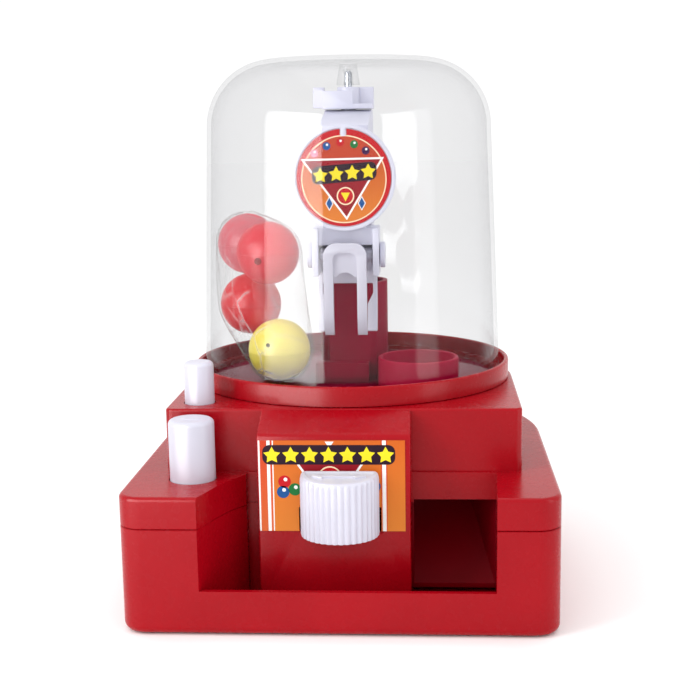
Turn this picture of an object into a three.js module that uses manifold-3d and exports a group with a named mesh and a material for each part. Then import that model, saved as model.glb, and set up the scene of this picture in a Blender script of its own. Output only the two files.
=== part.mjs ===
// Hand-worked claw crane toy: a red base with a prize tray, a clear dome, a turning crane with a claw
// that is lowered and opened by two push buttons, and a bag of capsules to catch.
// Millimetres, +Z up. The origin is the middle of the underside, and the front faces -Y.
import * as THREE from "three";
import { mergeVertices } from "three/addons/utils/BufferGeometryUtils.js";
import Module from "manifold-3d";

const wasm = await Module();
wasm.setup();

// ---- driving dimensions ----
const AXIS_Y = 12; // the crane's and the dome's upright axis stands here
const GAP = 0.3; // between pieces that touch
const WALL = 2.2; // moulded wall of the base

const BASE = { half: 80, front: -92, corner: 9, seam: 39.6, top: 51.6, floor: 2.4 };
const BOX = { half: 68, front: -56, corner: 3, top: 76, plate: 2 };
const TRAY = { floor: 3, lip: 16.6, back: -57.3, left: -50, right: 56.5, headroom: 41 };
const PRIZE_DOOR = { left: 26.9, right: 58.3 };
const PANEL = { left: -30.8, right: 26, front: -72, back: -56.3, wall: 2, slopeBack: 76, slopeFront: 70.6 };
const SLOT = { left: -15.5, right: 16, bottom: 33, top: 42.4 };
const KNOB = { half: 14.5, back: -73.2, front: -88.7, bottom: 33, top: 55.4, ribs: 22, ribDepth: 0.45 };

const GEAR = { teeth: 21, module: 1, bottom: 34, top: 40, addendum: 0.9, dedendum: 1.2, slack: 0.12 };
const PITCH_RADIUS = (GEAR.teeth * GEAR.module) / 2;
const RACK_CLEARANCE = 0.15;

const DECK = { top: 75.9, thick: 2, plateau: 60.6, flange: 63.6, mastHole: 12 };
const CHUTE = { x: 28.5, y: -23, outer: 16.5, inner: 14.9, top: 88 };
const RING = { outer: 66.5, inner: 61.2, channel: 64.6, ledge: 78, top: 84 };
const DOME = { foot: 78.3, footRadius: 62.65, shoulder: 181, shoulderRadius: 58.9, top: 208.7, wall: 1.8 };
const COLUMN = { x: 1.2, half: 14.2, front: -13.4, frontHalf: 9.8, back: 14.2, wall: 1.8, top: 117 };

const MAST = { outer: 5.5, bore: 3.2, foot: 30.9, top: 185.2, spigot: 3, spigotTop: 192.6, flange: 11.6 };
const HOOD = { half: 9.6, front: -34, back: 12.5, wall: 1.3, top: 188, rear: 118, frontFoot: 144 };
const BRACKET = { bottom: 188.3, top: 197.2 };
const SIGN = { z: 161.4, radius: 20.8, thick: 2.7, labelRadius: 19, narrowing: 0.98 };
const CLAW = { pivotY: -27, pivotZ: 130.3, cheek: 13.3, tip: 98.8, front: -39.5 };

const STEM = { half: 8, front: -32, back: -18, top: 160, wall: 1.8 };
const YOKE = { bottom: 122.5, plate: 134.6, top: 141.5, inner: 10.8 };
const JAW_ROD = { y: -22.4, radius: 1.1, bottom: 133.5, head: 169.6, top: 171.8 };
const CRANK = { y: -15.7, z: 176, nose: -22.4, inner: 6.4, outer: 7.9, stub: 9.5 };
const RELEASE_ROD = { y: 8.7, radius: 1.3, top: 174.2 };
const COLLAR = { bottom: 44, groove: 45.6, grooveTop: 49.4, top: 51.4, core: 7.3, bore: 5.75 };

const DROP_BUTTON = { x: -56, y: -65.8, radius: 8.6, top: 74.6 };
const RELEASE_BUTTON = { x: -56.5, y: -43.6, radius: 5.8, top: 92.3 };
const DROP_SHAFT = { x: -72, z: 24, radius: 2.5 };
const ROCKER_SHAFT = { x: -28.25, z: 50, radius: 3 };
const SCREWS = [[-69, -81], [69, -78], [-50, 58], [50, 58]];
const SCREW = { head: 2.9, shaft: 1.4, headBottom: 1.6, headTop: 4.7, tip: 48, boss: 4, pilot: 1.7 };
const LABEL_THICK = 0.3;
const LABEL_GAP = 0.05;

const CAPSULE = { radius: 12.9, wall: 1, rim: 0.15, vent: 1.2 };
const CAPSULES = [
  { name: "capsule_yellow", x: -29, y: -20, z: 90.4, color: 0xf4dc4e },
  { name: "capsule_red", x: -42.4, y: -5.3, z: 107.8, color: 0xd8323c },
  { name: "capsule_coral", x: -32.8, y: -19.6, z: 130.6, color: 0xe2505a },
  { name: "capsule_pink", x: -44.3, y: 4, z: 132.4, color: 0xe8888e },
];
const FILM = { inner: 0.8, outer: 1.2 }; // the bag's two faces, outside the capsules

// ---- materials ----
function plastic(color, roughness, extra = {}) {
  return new THREE.MeshStandardMaterial({ color, roughness, metalness: 0, ...extra });
}
const red = plastic(0xc01828, 0.25);
const darkRed = plastic(0x8c1430, 0.3);
const white = plastic(0xe4e2f0, 0.35);
const grey = plastic(0x9a9aa0, 0.5);
const steel = new THREE.MeshStandardMaterial({ color: 0xb8bcc0, roughness: 0.3, metalness: 1 });
const clear = plastic(0xf0f4f6, 0.05, { transparent: true, opacity: 0.25 });
const film = plastic(0xf6f6f6, 0.2, { transparent: true, opacity: 0.3 });
const print = plastic(0xf08a2c, 0.45);

// ---- solids ----
function solid(geometry) {
  const bare = geometry.index ? geometry.toNonIndexed() : geometry.clone();
  bare.deleteAttribute("normal");
  bare.deleteAttribute("uv");
  const merged = mergeVertices(bare, 1e-4);
  const index = merged.index.array;
  const triVerts = [];
  for (let i = 0; i < index.length; i += 3) {
    const [a, b, c] = index.subarray(i, i + 3);
    if (a !== b && b !== c && c !== a) triVerts.push(a, b, c);
  }
  return new wasm.Manifold(
    new wasm.Mesh({
      numProp: 3,
      vertProperties: merged.attributes.position.array,
      triVerts: new Uint32Array(triVerts),
    }),
  );
}

function geometryOf(manifold) {
  const mesh = manifold.getMesh();
  const positions = new Float32Array(mesh.numVert * 3);
  for (let i = 0; i < mesh.numVert; i += 1) {
    positions.set(mesh.vertProperties.subarray(i * mesh.numProp, i * mesh.numProp + 3), i * 3);
  }
  const indexed = new THREE.BufferGeometry();
  indexed.setAttribute("position", new THREE.BufferAttribute(positions, 3));
  indexed.setIndex(new THREE.BufferAttribute(new Uint32Array(mesh.triVerts), 1));
  const flat = indexed.toNonIndexed();
  flat.computeVertexNormals();
  return flat;
}

function join(...pieces) {
  return pieces.reduce((all, next) => all.add(next));
}

function cut(body, ...tools) {
  return tools.reduce((left, tool) => left.subtract(tool), body);
}

// A box from its lowest to its highest coordinate along each axis.
function block(x0, x1, y0, y1, z0, z1) {
  const geometry = new THREE.BoxGeometry(x1 - x0, y1 - y0, z1 - z0);
  geometry.translate((x0 + x1) / 2, (y0 + y1) / 2, (z0 + z1) / 2);
  return solid(geometry);
}

// An upright cylinder.
function post(x, y, radius, z0, z1, sides = 24) {
  const geometry = new THREE.CylinderGeometry(radius, radius, z1 - z0, sides);
  geometry.rotateX(Math.PI / 2);
  geometry.translate(x, y, (z0 + z1) / 2);
  return solid(geometry);
}

// A cylinder that lies along X.
function rodX(x0, x1, y, z, radius, sides = 20) {
  const geometry = new THREE.CylinderGeometry(radius, radius, x1 - x0, sides);
  geometry.rotateZ(-Math.PI / 2);
  geometry.translate((x0 + x1) / 2, y, z);
  return solid(geometry);
}

// A cylinder that lies along Y.
function rodY(x, y0, y1, z, radius, sides = 20) {
  const geometry = new THREE.CylinderGeometry(radius, radius, y1 - y0, sides);
  geometry.translate(x, (y0 + y1) / 2, z);
  return solid(geometry);
}

// An outline in plan, raised from z0 to z1.
function raise(points, z0, z1) {
  const shape = new THREE.Shape(points.map(([x, y]) => new THREE.Vector2(x, y)));
  const geometry = new THREE.ExtrudeGeometry(shape, { depth: z1 - z0, bevelEnabled: false });
  geometry.translate(0, 0, z0);
  return solid(geometry);
}

// An outline of (y, z) points, carried along X from x0 to x1.
function sweepX(points, x0, x1) {
  const shape = new THREE.Shape(points.map(([y, z]) => new THREE.Vector2(y, z)));
  const geometry = new THREE.ExtrudeGeometry(shape, { depth: x1 - x0, bevelEnabled: false });
  geometry.applyMatrix4(new THREE.Matrix4().set(0, 0, 1, x0, 1, 0, 0, 0, 0, 1, 0, 0, 0, 0, 0, 1));
  return solid(geometry);
}

// A closed profile of (radius, z) points, turned about an upright axis.
function turn(profile, x = 0, y = 0, sides = 40) {
  const points = profile.map(([r, z]) => new THREE.Vector2(r, z));
  const geometry = new THREE.LatheGeometry([...points, points[0]], sides);
  geometry.rotateX(Math.PI / 2);
  geometry.translate(x, y, 0);
  return solid(geometry);
}

// Equal outlines stacked at their own heights, closed at both ends.
function stack(rings) {
  const count = rings[0].points.length;
  const positions = rings.flatMap(({ points, z }) => points.flatMap(([x, y]) => [x, y, z]));
  const faces = [];
  for (let level = 0; level + 1 < rings.length; level += 1) {
    for (let i = 0; i < count; i += 1) {
      const a = level * count + i;
      const b = level * count + ((i + 1) % count);
      faces.push(a, b, b + count, a, b + count, a + count);
    }
  }
  const lowest = rings[0].points.map(([x, y]) => new THREE.Vector2(x, y));
  const last = (rings.length - 1) * count;
  for (const [a, b, c] of THREE.ShapeUtils.triangulateShape(lowest, [])) {
    faces.push(a, c, b, last + a, last + b, last + c);
  }
  const geometry = new THREE.BufferGeometry();
  geometry.setAttribute("position", new THREE.Float32BufferAttribute(positions, 3));
  geometry.setIndex(faces);
  return solid(geometry);
}

function arc(x, y, radius, from, to, steps) {
  const points = [];
  for (let i = 0; i <= steps; i += 1) {
    const angle = THREE.MathUtils.degToRad(from + ((to - from) * i) / steps);
    points.push([x + radius * Math.cos(angle), y + radius * Math.sin(angle)]);
  }
  return points;
}

// The plan of the base and of its upper box: straight front and sides, and a round back.
function dOutline({ half, front, corner }, inset = 0) {
  const w = half - inset;
  const f = front + inset;
  const r = Math.max(corner - inset, 0.8);
  return [
    ...arc(0, AXIS_Y, w, 0, 180, 20),
    ...arc(-w + r, f + r, r, 180, 270, 2),
    ...arc(w - r, f + r, r, 270, 360, 2),
  ];
}

// The recess of the prize tray in plan. Its left side runs in at a slant towards the panel.
function recessOutline(grow, frontY) {
  return [
    [TRAY.left - grow - (-89.8 - frontY) * 0.3, frontY],
    [TRAY.right + grow, frontY],
    [PRIZE_DOOR.right + grow, TRAY.back + grow],
    [-36.7 - grow, TRAY.back + grow],
    [-36.7 - grow, -61.4],
    [-41.6 - grow, -68.5],
    [-45.4 - grow, -77.6],
  ];
}

function mesh(name, body, material, group) {
  const made = new THREE.Mesh(geometryOf(body), material);
  made.name = name;
  group.add(made);
  return made;
}

// ---- base ----
function baseTray() {
  const shell = stack([
    { points: dOutline(BASE, 3), z: 0 },
    { points: dOutline(BASE, 0.9), z: 0.9 },
    { points: dOutline(BASE), z: 3 },
    { points: dOutline(BASE), z: BASE.seam },
  ]);
  const inside = raise(dOutline(BASE, WALL), BASE.floor, BASE.seam + 1);
  const recessBlock = raise(recessOutline(2, BASE.front - 5), -1, BASE.seam + 2);
  const recess = raise(recessOutline(0, -89.8), TRAY.floor, BASE.seam + 1);
  const frontOpening = raise(recessOutline(0, BASE.front - 5), TRAY.lip, BASE.seam + 1);
  const openingLeft = PANEL.left - GAP;
  const openingTop = BASE.seam + 1;
  const backOpening = block(
    openingLeft, PRIZE_DOOR.right, TRAY.back - 1, TRAY.back + 3, TRAY.floor, openingTop,
  );
  const bosses = SCREWS.map(([x, y]) => post(x, y, SCREW.boss, 1, BASE.seam - 0.1, 12));
  const holes = SCREWS.map(([x, y]) => post(x, y, SCREW.pilot, -1, BASE.seam + 1, 8));
  const sinks = SCREWS.map(([x, y]) => post(x, y, SCREW.head + 0.4, -1, SCREW.headTop + 2 * GAP, 12));
  const leverPosts = [[-56, -53], [-20, -17]].map(([y0, y1]) =>
    cut(
      block(-75.5, -68.5, y0, y1, 1, 28),
      rodY(DROP_SHAFT.x, y0 - 1, y1 + 1, DROP_SHAFT.z, DROP_SHAFT.radius + 0.2),
      block(-74.2, -69.8, y0 - 1, y1 + 1, DROP_SHAFT.z, 29),
    ),
  );
  const hollow = cut(inside, recessBlock);
  return cut(
    join(cut(shell, hollow, recess, frontOpening, backOpening), ...bosses, ...leverPosts),
    ...holes,
    ...sinks,
  );
}

function baseCover() {
  const bottom = BASE.seam + 0.2;
  const band = stack([
    { points: dOutline(BASE), z: bottom },
    { points: dOutline(BASE), z: BASE.top - 1.4 },
    { points: dOutline(BASE, 0.4), z: BASE.top - 0.4 },
    { points: dOutline(BASE, 1.4), z: BASE.top },
  ]);
  const upper = stack([
    { points: dOutline(BOX), z: BASE.top - 3 },
    { points: dOutline(BOX), z: BOX.top - 0.8 },
    { points: dOutline(BOX, 0.8), z: BOX.top },
  ]);
  const bandRoom = raise(dOutline(BASE, WALL), bottom - 1, BASE.top - 2);
  const boxRoom = raise(dOutline(BOX, WALL), bottom - 1, BOX.top - BOX.plate);
  const boxFront = block(-38.7, PRIZE_DOOR.right + 2, BOX.front, BOX.front + WALL, bottom, BASE.top);
  const recessBlock = raise(recessOutline(2, BASE.front - 5), bottom - 2, BASE.top - 2);
  const recess = raise(recessOutline(0, BASE.front - 5), bottom - 2, BASE.top + 2);
  const aheadOfBox = block(-36.7, PRIZE_DOOR.right, TRAY.back - 1, BOX.front, bottom - 2, BASE.top + 2);
  const deckHole = post(0, AXIS_Y, DECK.plateau + GAP, BOX.top - 4, BOX.top + 2, 36);
  const stemHole = block(-29, 24.4, BOX.front - 1, BOX.front + 3, bottom - 2, SLOT.top + 0.6);
  const { left, right } = PRIZE_DOOR;
  const door = block(left, right, BOX.front - 3, BOX.front + 3, bottom - 2, TRAY.headroom);
  const dropHole = post(DROP_BUTTON.x, DROP_BUTTON.y, DROP_BUTTON.radius + 0.4, 44, BASE.top + 2, 32);
  const releaseHole = post(RELEASE_BUTTON.x, RELEASE_BUTTON.y, RELEASE_BUTTON.radius + 0.4, 72, 78, 28);
  const shelf = cut(
    block(-67, -47, BOX.front + 1, -36, 56.5, 58.5),
    post(RELEASE_BUTTON.x, RELEASE_BUTTON.y, 3.5, 55, 60, 16),
  );
  const bosses = SCREWS.map(([x, y]) => post(x, y, SCREW.boss, bottom, BASE.top - 1, 12));
  const pilots = SCREWS.map(([x, y]) => post(x, y, SCREW.shaft + 0.15, bottom - 1, SCREW.tip + 0.6, 8));
  const rooms = cut(join(bandRoom, boxRoom), cut(recessBlock, boxRoom));
  const recessOnly = cut(recess, raise(dOutline(BOX), bottom - 3, BOX.top));
  const shell = cut(join(band, upper), rooms, recessOnly, aheadOfBox);
  const whole = join(shell, boxFront, shelf, ...bosses);
  return cut(whole, deckHole, stemHole, door, dropHole, releaseHole, ...pilots);
}

function controlPanel() {
  const { left, right, front, back, wall } = PANEL;
  const outer = [[back, PANEL.slopeBack], [front + 2.4, PANEL.slopeFront], [front + 0.6, 69.6],
    [front, 68], [front, TRAY.floor + GAP], [back, TRAY.floor + GAP]];
  const inner = [[back + 1, PANEL.slopeBack - wall], [front + 3, PANEL.slopeFront - wall],
    [front + wall, 67], [front + wall, 1], [back + 1, 1]];
  return cut(
    sweepX(outer, left, right),
    sweepX(inner, left + wall, right - wall),
    block(SLOT.left, SLOT.right, front - 1, front + 3, SLOT.bottom, SLOT.top),
  );
}

function panelLabel() {
  const back = PANEL.front - LABEL_GAP;
  return cut(
    block(PANEL.left + 0.6, 24, back - LABEL_THICK, back, SLOT.bottom + 0.2, 67.8),
    block(SLOT.left, SLOT.right, back - 1, back + 1, SLOT.bottom - 1, SLOT.top),
  );
}

// ---- knob and rack ----
function knobOutline() {
  const { half, back, front, ribs, ribDepth } = KNOB;
  const flank = 3.2;
  const centre = back - flank;
  const reach = centre - front;
  const points = [];
  for (let i = 0; i <= ribs * 2; i += 1) {
    const angle = Math.PI + (Math.PI * i) / (ribs * 2);
    const r = i % 2 ? 1 : 1 - ribDepth / half;
    points.push([half * r * Math.cos(angle), centre + reach * r * Math.sin(angle)]);
  }
  return [...points, ...arc(half - 2, back - 2, 2, 0, 90, 3), ...arc(-half + 2, back - 2, 2, 90, 180, 3)];
}

function arrowRelief() {
  const y = KNOB.back - 5.5;
  const outline = [[-10, y], [-6, y + 2], [-6, y + 0.8], [6, y + 0.8], [6, y + 2], [10, y],
    [6, y - 2], [6, y - 0.8], [-6, y - 0.8], [-6, y - 2]];
  return raise(outline, KNOB.top - 0.5, KNOB.top + 0.5);
}

function knob() {
  const socket = block(-3.3, 3.3, KNOB.back - 5.3, KNOB.back + 1, GEAR.bottom + 0.2, GEAR.top + 0.3);
  return cut(join(raise(knobOutline(), KNOB.bottom, KNOB.top), arrowRelief()), socket);
}

// The knob's stem runs back under the deck and carries a rack that turns the crane's pinion.
function knobSlider() {
  const pitchLine = AXIS_Y - PITCH_RADIUS - RACK_CLEARANCE;
  const root = pitchLine - GEAR.dedendum;
  const tip = pitchLine + GEAR.addendum;
  const pitch = Math.PI * GEAR.module;
  const slope = Math.tan(THREE.MathUtils.degToRad(20));
  const atPitch = pitch / 4 - GEAR.slack;
  const rootHalf = atPitch + GEAR.dedendum * slope;
  const tipHalf = atPitch - GEAR.addendum * slope;
  const teeth = 6;
  const outline = [[-20, -4.2], [20, -4.2], [20, root]];
  for (let i = teeth; i >= -teeth; i -= 1) {
    const x = i * pitch + pitch / 2;
    if (x + rootHalf > 20) continue;
    outline.push([x + rootHalf, root], [x + tipHalf, tip], [x - tipHalf, tip], [x - rootHalf, root]);
  }
  outline.push([-20, root]);
  const stem = block(-3, 3, KNOB.back - 5, -3, GEAR.bottom + 0.5, GEAR.top - 0.8);
  return join(raise(outline, GEAR.bottom, GEAR.top), stem);
}

// One involute flank from the base circle (or the root) to the tip, as [angle, radius] pairs.
function pinionOutline() {
  const pressure = THREE.MathUtils.degToRad(20);
  const baseRadius = PITCH_RADIUS * Math.cos(pressure);
  const tipRadius = PITCH_RADIUS + GEAR.addendum;
  const rootRadius = PITCH_RADIUS - GEAR.dedendum;
  const involute = (r) => {
    const roll = Math.sqrt(Math.max((r / baseRadius) ** 2 - 1, 0));
    return roll - Math.atan(roll);
  };
  const halfAtPitch = Math.PI / (2 * GEAR.teeth) - GEAR.slack / PITCH_RADIUS;
  const halfAngle = (r) => halfAtPitch + involute(PITCH_RADIUS) - involute(Math.max(r, baseRadius));
  const radii = [rootRadius, PITCH_RADIUS, tipRadius];
  const points = [];
  for (let tooth = 0; tooth < GEAR.teeth; tooth += 1) {
    const middle = -Math.PI / 2 + (tooth * 2 * Math.PI) / GEAR.teeth;
    const rising = radii.map((r) => [middle - halfAngle(r), r]);
    const falling = [...radii].reverse().map((r) => [middle + halfAngle(r), r]);
    for (const [angle, r] of [...rising, ...falling]) {
      points.push([r * Math.cos(angle), r * Math.sin(angle)]);
    }
  }
  return points;
}

function pinion() {
  return cut(raise(pinionOutline(), GEAR.bottom, GEAR.top), post(0, 0, MAST.outer + 0.1, 30, 45, 28));
}

// A frame on four legs holds the mast's foot and guides the rack.
function gearFrame() {
  const top = 30.5;
  const plate = raise([[-24, -8], [33, -8], [33, 26], [-24, 26]], top - 2.5, top);
  const legs = [[-21, -5], [30, -5], [-21, 23.5], [30, 23.5]].map(([x, y]) =>
    post(x, y, 2.5, BASE.floor + GAP, top - 1, 14),
  );
  const guides = [[-24, -16], [16, 33]].flatMap(([x0, x1]) => [
    block(x0, x1, -6.4, -4.5, top - 1, GEAR.top - 1),
    block(x0, x1, -4.8, -1, top - 1, GEAR.bottom - GAP),
  ]);
  const cup = post(0, AXIS_Y, 7.6, top - 1, top + 2.6, 28);
  const cupRoom = post(0, AXIS_Y, MAST.outer + 0.2, top, top + 5, 28);
  const rodHole = post(0, AXIS_Y, 3.3, top - 5, top + 1, 20);
  return cut(join(plate, ...legs, ...guides, cup), cupRoom, rodHole);
}

// ---- deck, chute, rings and dome ----
function deck() {
  const { top, thick, plateau, flange, mastHole } = DECK;
  const bottom = top - thick;
  const disc = join(
    post(0, 0, plateau, bottom - 0.2, top, 36),
    post(0, 0, flange, bottom - 2.2, bottom - 0.2, 36),
  );
  return cut(
    disc,
    post(0, 0, mastHole, bottom - 5, top + 1, 32),
    post(CHUTE.x, CHUTE.y, CHUTE.inner, bottom - 5, top + 1, 32),
  );
}

function chuteRing() {
  return turn(
    [[CHUTE.inner, DECK.top + GAP], [CHUTE.outer, DECK.top + GAP], [CHUTE.outer, CHUTE.top - 0.4],
      [CHUTE.outer - 0.4, CHUTE.top], [CHUTE.inner + 0.4, CHUTE.top], [CHUTE.inner, CHUTE.top - 0.4]],
    CHUTE.x, CHUTE.y, 32,
  );
}

// The chute drops from the deck and slopes forward to the prize opening.
function prizeChute() {
  const plan = [[12, 7], [12, -8], [14.7, -14], [25.4, -53.4], [60, -53.4], [47, -10], [47, 7]];
  const room = [[13.5, 5.5], [13.5, -8.2], [16.2, -14], [27.1, -54], [58.3, -54], [45.4, -10], [45.4, 5.5]];
  const under = [[8, 56.7], [8, 62], [-28, 62], [-53.4, 40], [-53.4, 4.4]];
  const over = [[9, 59.3], [9, 70], [-60, 70], [-60, 0.6]];
  const trough = cut(
    raise(plan, 0, 62).intersect(sweepX(under, 0, 70)),
    raise(room, 0, 70).intersect(sweepX(over, 0, 70)),
  );
  const y = AXIS_Y + CHUTE.y;
  const top = DECK.top - DECK.thick - 2.2 - GAP;
  const tube = post(CHUTE.x, y, CHUTE.outer, 57.5, top, 32);
  return cut(join(trough, tube), post(CHUTE.x, y, CHUTE.inner, 57.4, top + 1, 32));
}

function domeRing() {
  return turn(
    [[RING.inner, BOX.top + GAP], [RING.outer, BOX.top + GAP], [RING.outer, RING.top - 0.6],
      [RING.outer - 0.6, RING.top], [RING.channel + 0.2, RING.top], [RING.channel, RING.top - 0.3],
      [RING.channel, RING.ledge], [RING.inner, RING.ledge]],
    0, 0, 40,
  );
}

function dome() {
  const { foot, footRadius, shoulder, shoulderRadius, top, wall } = DOME;
  const rise = top - shoulder;
  const flat = shoulderRadius - rise;
  const rounding = (radius, inset) => {
    const points = [];
    for (let i = 0; i <= 5; i += 1) {
      const angle = (Math.PI / 2) * (i / 5);
      points.push([flat + (radius - inset) * Math.cos(angle), shoulder + (rise - inset) * Math.sin(angle)]);
    }
    return points;
  };
  const outer = [[footRadius + 1, foot], [footRadius + 1, foot + 1.6], [footRadius, foot + 2],
    ...rounding(rise, 0), [0, top + 0.01]];
  const inner = [[0, top - wall], ...rounding(rise, wall).reverse(), [footRadius - wall, foot + 2],
    [footRadius - wall, foot]];
  const points = [...outer, ...inner].map(([r, z]) => new THREE.Vector2(r, z));
  const geometry = new THREE.LatheGeometry([...points, points[0]], 36);
  geometry.rotateX(Math.PI / 2);
  const boss = turn([[0, 198], [5, 198], [3.4, top - wall + 0.3], [0, top - wall + 0.3]], 0, 0, 20);
  const socket = post(0, 0, 2.2, 197, 204.5, 16);
  return cut(join(solid(geometry), boss), socket);
}

function columnSleeve() {
  const { x, half, front, frontHalf, back, wall, top } = COLUMN;
  const outline = (inset) => [
    [x - frontHalf + inset * 0.5, front + inset],
    [x + frontHalf - inset * 0.5, front + inset],
    ...arc(x, 0, half - inset, -32, 90, 8),
    ...arc(x, 0, half - inset, 90, 212, 8).slice(1),
  ];
  const bottom = DECK.top + GAP;
  const plinth = block(-14, 8, -19.4, front + 0.5, bottom, 84.4);
  const tube = raise(outline(0), bottom, top);
  return cut(join(tube, plinth), raise(outline(wall), bottom - 1, top + 1));
}

// ---- crane: these stand in a group whose origin is the crane's axis ----
function mast() {
  const { outer, bore, foot, top, spigot, spigotTop, flange } = MAST;
  const body = turn(
    [[0, foot], [outer, foot], [outer, 71.5], [flange, 71.5], [flange, 75.4], [outer, 75.4],
      [outer, top], [spigot, top], [spigot, spigotTop], [0, spigotTop]],
    0, 0, 28,
  );
  const rodBore = post(0, 0, bore, foot - 1, 172, 20);
  const armSlot = block(-2.3, 2.3, -8, 0, 128, 159);
  const releaseHole = post(0, RELEASE_ROD.y, RELEASE_ROD.radius + 0.3, 70, 77, 14);
  return cut(body, rodBore, armSlot, releaseHole);
}

function releaseRod() {
  const spool = turn(
    [[COLLAR.bore, COLLAR.bottom], [9.6, COLLAR.bottom], [9.6, COLLAR.groove], [COLLAR.core, COLLAR.groove],
      [COLLAR.core, COLLAR.grooveTop], [10.4, COLLAR.grooveTop], [10.4, COLLAR.top], [COLLAR.bore, COLLAR.top]],
    0, 0, 28,
  );
  return join(spool, post(0, RELEASE_ROD.y, RELEASE_ROD.radius, COLLAR.top - 1, RELEASE_ROD.top, 12));
}

function hood() {
  const { half, front, back, wall, top, rear, frontFoot } = HOOD;
  const slopeEnd = 181.6;
  const profile = (inset) => [
    [back - inset, rear - (inset ? 1 : 0)],
    [back - inset, top - 3 - inset * 0.4],
    [back - 3 - inset * 0.4, top - inset],
    [-2, top - inset],
    [front + inset, slopeEnd - inset],
    [front + inset, frontFoot - (inset ? 1 : 0)],
    [-13 + inset, frontFoot - (inset ? 1 : 0)],
    [-13 + inset, rear - (inset ? 1 : 0)],
  ];
  const notch = block(-2.4, 2.4, -20, -13 + wall, rear - 2, frontFoot + 20);
  return cut(
    sweepX(profile(0), -half, half),
    sweepX(profile(wall), -half + wall, half - wall),
    notch,
    post(0, 0, MAST.spigot + 0.2, top - 3, top + 1, 20),
    rodX(-half - 1, half + 1, CRANK.y, CRANK.z, 1.6, 14),
  );
}

// The crank turns the release rod's lift into a push down on the jaw rod.
function releaseCrank() {
  const { inner, outer, stub } = CRANK;
  const noseFront = CRANK.nose - 2;
  const noseBack = CRANK.nose + 2;
  const armProfile = [[10.2, 174.6], [10.2, 177.4], [-10, 178.6], [noseFront, 175], [noseFront, 172.2],
    [noseBack, 172.2], [-12, 173.4]];
  return join(
    sweepX(armProfile, -outer, -inner),
    sweepX(armProfile, inner, outer),
    block(-outer, outer, 7.4, 10.2, 174.6, 177.4),
    block(-outer, outer, noseFront, noseBack, 172.2, 174.6),
    rodX(-stub, -inner, CRANK.y, CRANK.z, 1.3, 14),
    rodX(inner, stub, CRANK.y, CRANK.z, 1.3, 14),
  );
}

function topBracket() {
  const { bottom, top } = BRACKET;
  const body = join(
    block(-10.4, 10.4, -7, 7, bottom, bottom + 2),
    block(-10.4, 2.2, -7, -1, bottom, top - 1.6),
    block(4.6, 10.4, 0.5, 7, bottom, top),
    block(-14.5, -10, -2.5, 3.5, bottom + 0.5, top),
    post(0, 0, 4.6, bottom, top, 20),
  );
  return cut(body, post(0, 0, MAST.spigot + 0.2, bottom - 1, 193, 20), post(0, 0, 1.8, 192, top + 1, 14));
}

function pivotPin() {
  return turn([[0, 193.2], [1.6, 193.2], [1.6, 203], [1, 203.8], [0, 203.8]], 0, 0, 14);
}

// The sign is a little narrower than it is tall.
function ovalPlate(y0, y1, radius) {
  const geometry = new THREE.CylinderGeometry(radius, radius, y1 - y0, 36);
  geometry.scale(SIGN.narrowing, 1, 1);
  geometry.translate(0, (y0 + y1) / 2, SIGN.z);
  return solid(geometry);
}

function signDisc() {
  const front = HOOD.front - GAP - SIGN.thick;
  const body = ovalPlate(front, HOOD.front - GAP, SIGN.radius);
  const recess = ovalPlate(front - 1, front + 0.5, SIGN.labelRadius + 0.3);
  const nib = block(-1, 1, front, front + 1, SIGN.z + SIGN.labelRadius - 3, SIGN.z + SIGN.labelRadius + 1);
  return join(cut(body, recess), nib);
}

function signLabel() {
  const back = HOOD.front - GAP - SIGN.thick + 0.5 - LABEL_GAP;
  const disc = ovalPlate(back - LABEL_THICK, back, SIGN.labelRadius);
  return cut(disc, block(-1.4, 1.4, back - 2, back + 2, SIGN.z + SIGN.labelRadius - 3.4, SIGN.z + SIGN.radius));
}

// ---- claw: it slides up and down in the hood ----
function liftRod() {
  return post(0, 0, MAST.bore - 0.3, 20.6, 150, 16);
}

function liftCollar() {
  return turn(
    [[3.1, 20.6], [6.4, 20.6], [6.4, 22.1], [4, 22.1], [4, 25.7], [6.4, 25.7], [6.4, 27.2], [3.1, 27.2]],
    0, 0, 24,
  );
}

function liftArm() {
  return join(post(0, 0, MAST.bore - 0.3, 150.3, 156, 16), block(-1.9, 1.9, STEM.back + GAP, 0, 150.3, 155.6));
}

function clawCarriage() {
  const { half, front, back, top, wall } = STEM;
  const stem = cut(
    block(-half, half, front, back, YOKE.top - 2, top),
    block(-half + wall, half - wall, front - 1, back - wall, YOKE.top - 1, top - 3),
  );
  const yoke = join(
    block(-CLAW.cheek, CLAW.cheek, front, back, YOKE.top - 2.4, YOKE.top),
    block(-CLAW.cheek, CLAW.cheek, front, front + 1.6, YOKE.plate, YOKE.top),
    block(-CLAW.cheek, CLAW.cheek, back - 1.5, back, YOKE.bottom, YOKE.top),
    block(-CLAW.cheek, -YOKE.inner, -35, back, YOKE.bottom, YOKE.top),
    block(YOKE.inner, CLAW.cheek, -35, back, YOKE.bottom, YOKE.top),
  );
  return cut(
    join(stem, yoke),
    post(0, JAW_ROD.y, 1.4, YOKE.top - 4, top + 1, 12),
    rodX(-15, 15, CLAW.pivotY, CLAW.pivotZ, 1.7, 14),
  );
}

function jawPin() {
  const head = 5.2;
  const { pivotY, pivotZ, cheek } = CLAW;
  return join(
    rodX(-cheek - 1, cheek + 1, pivotY, pivotZ, 1.5, 14),
    rodX(-cheek - 2.3, -cheek - GAP, pivotY, pivotZ, head, 24),
    rodX(cheek + GAP, cheek + 2.3, pivotY, pivotZ, head, 24),
  );
}

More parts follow.
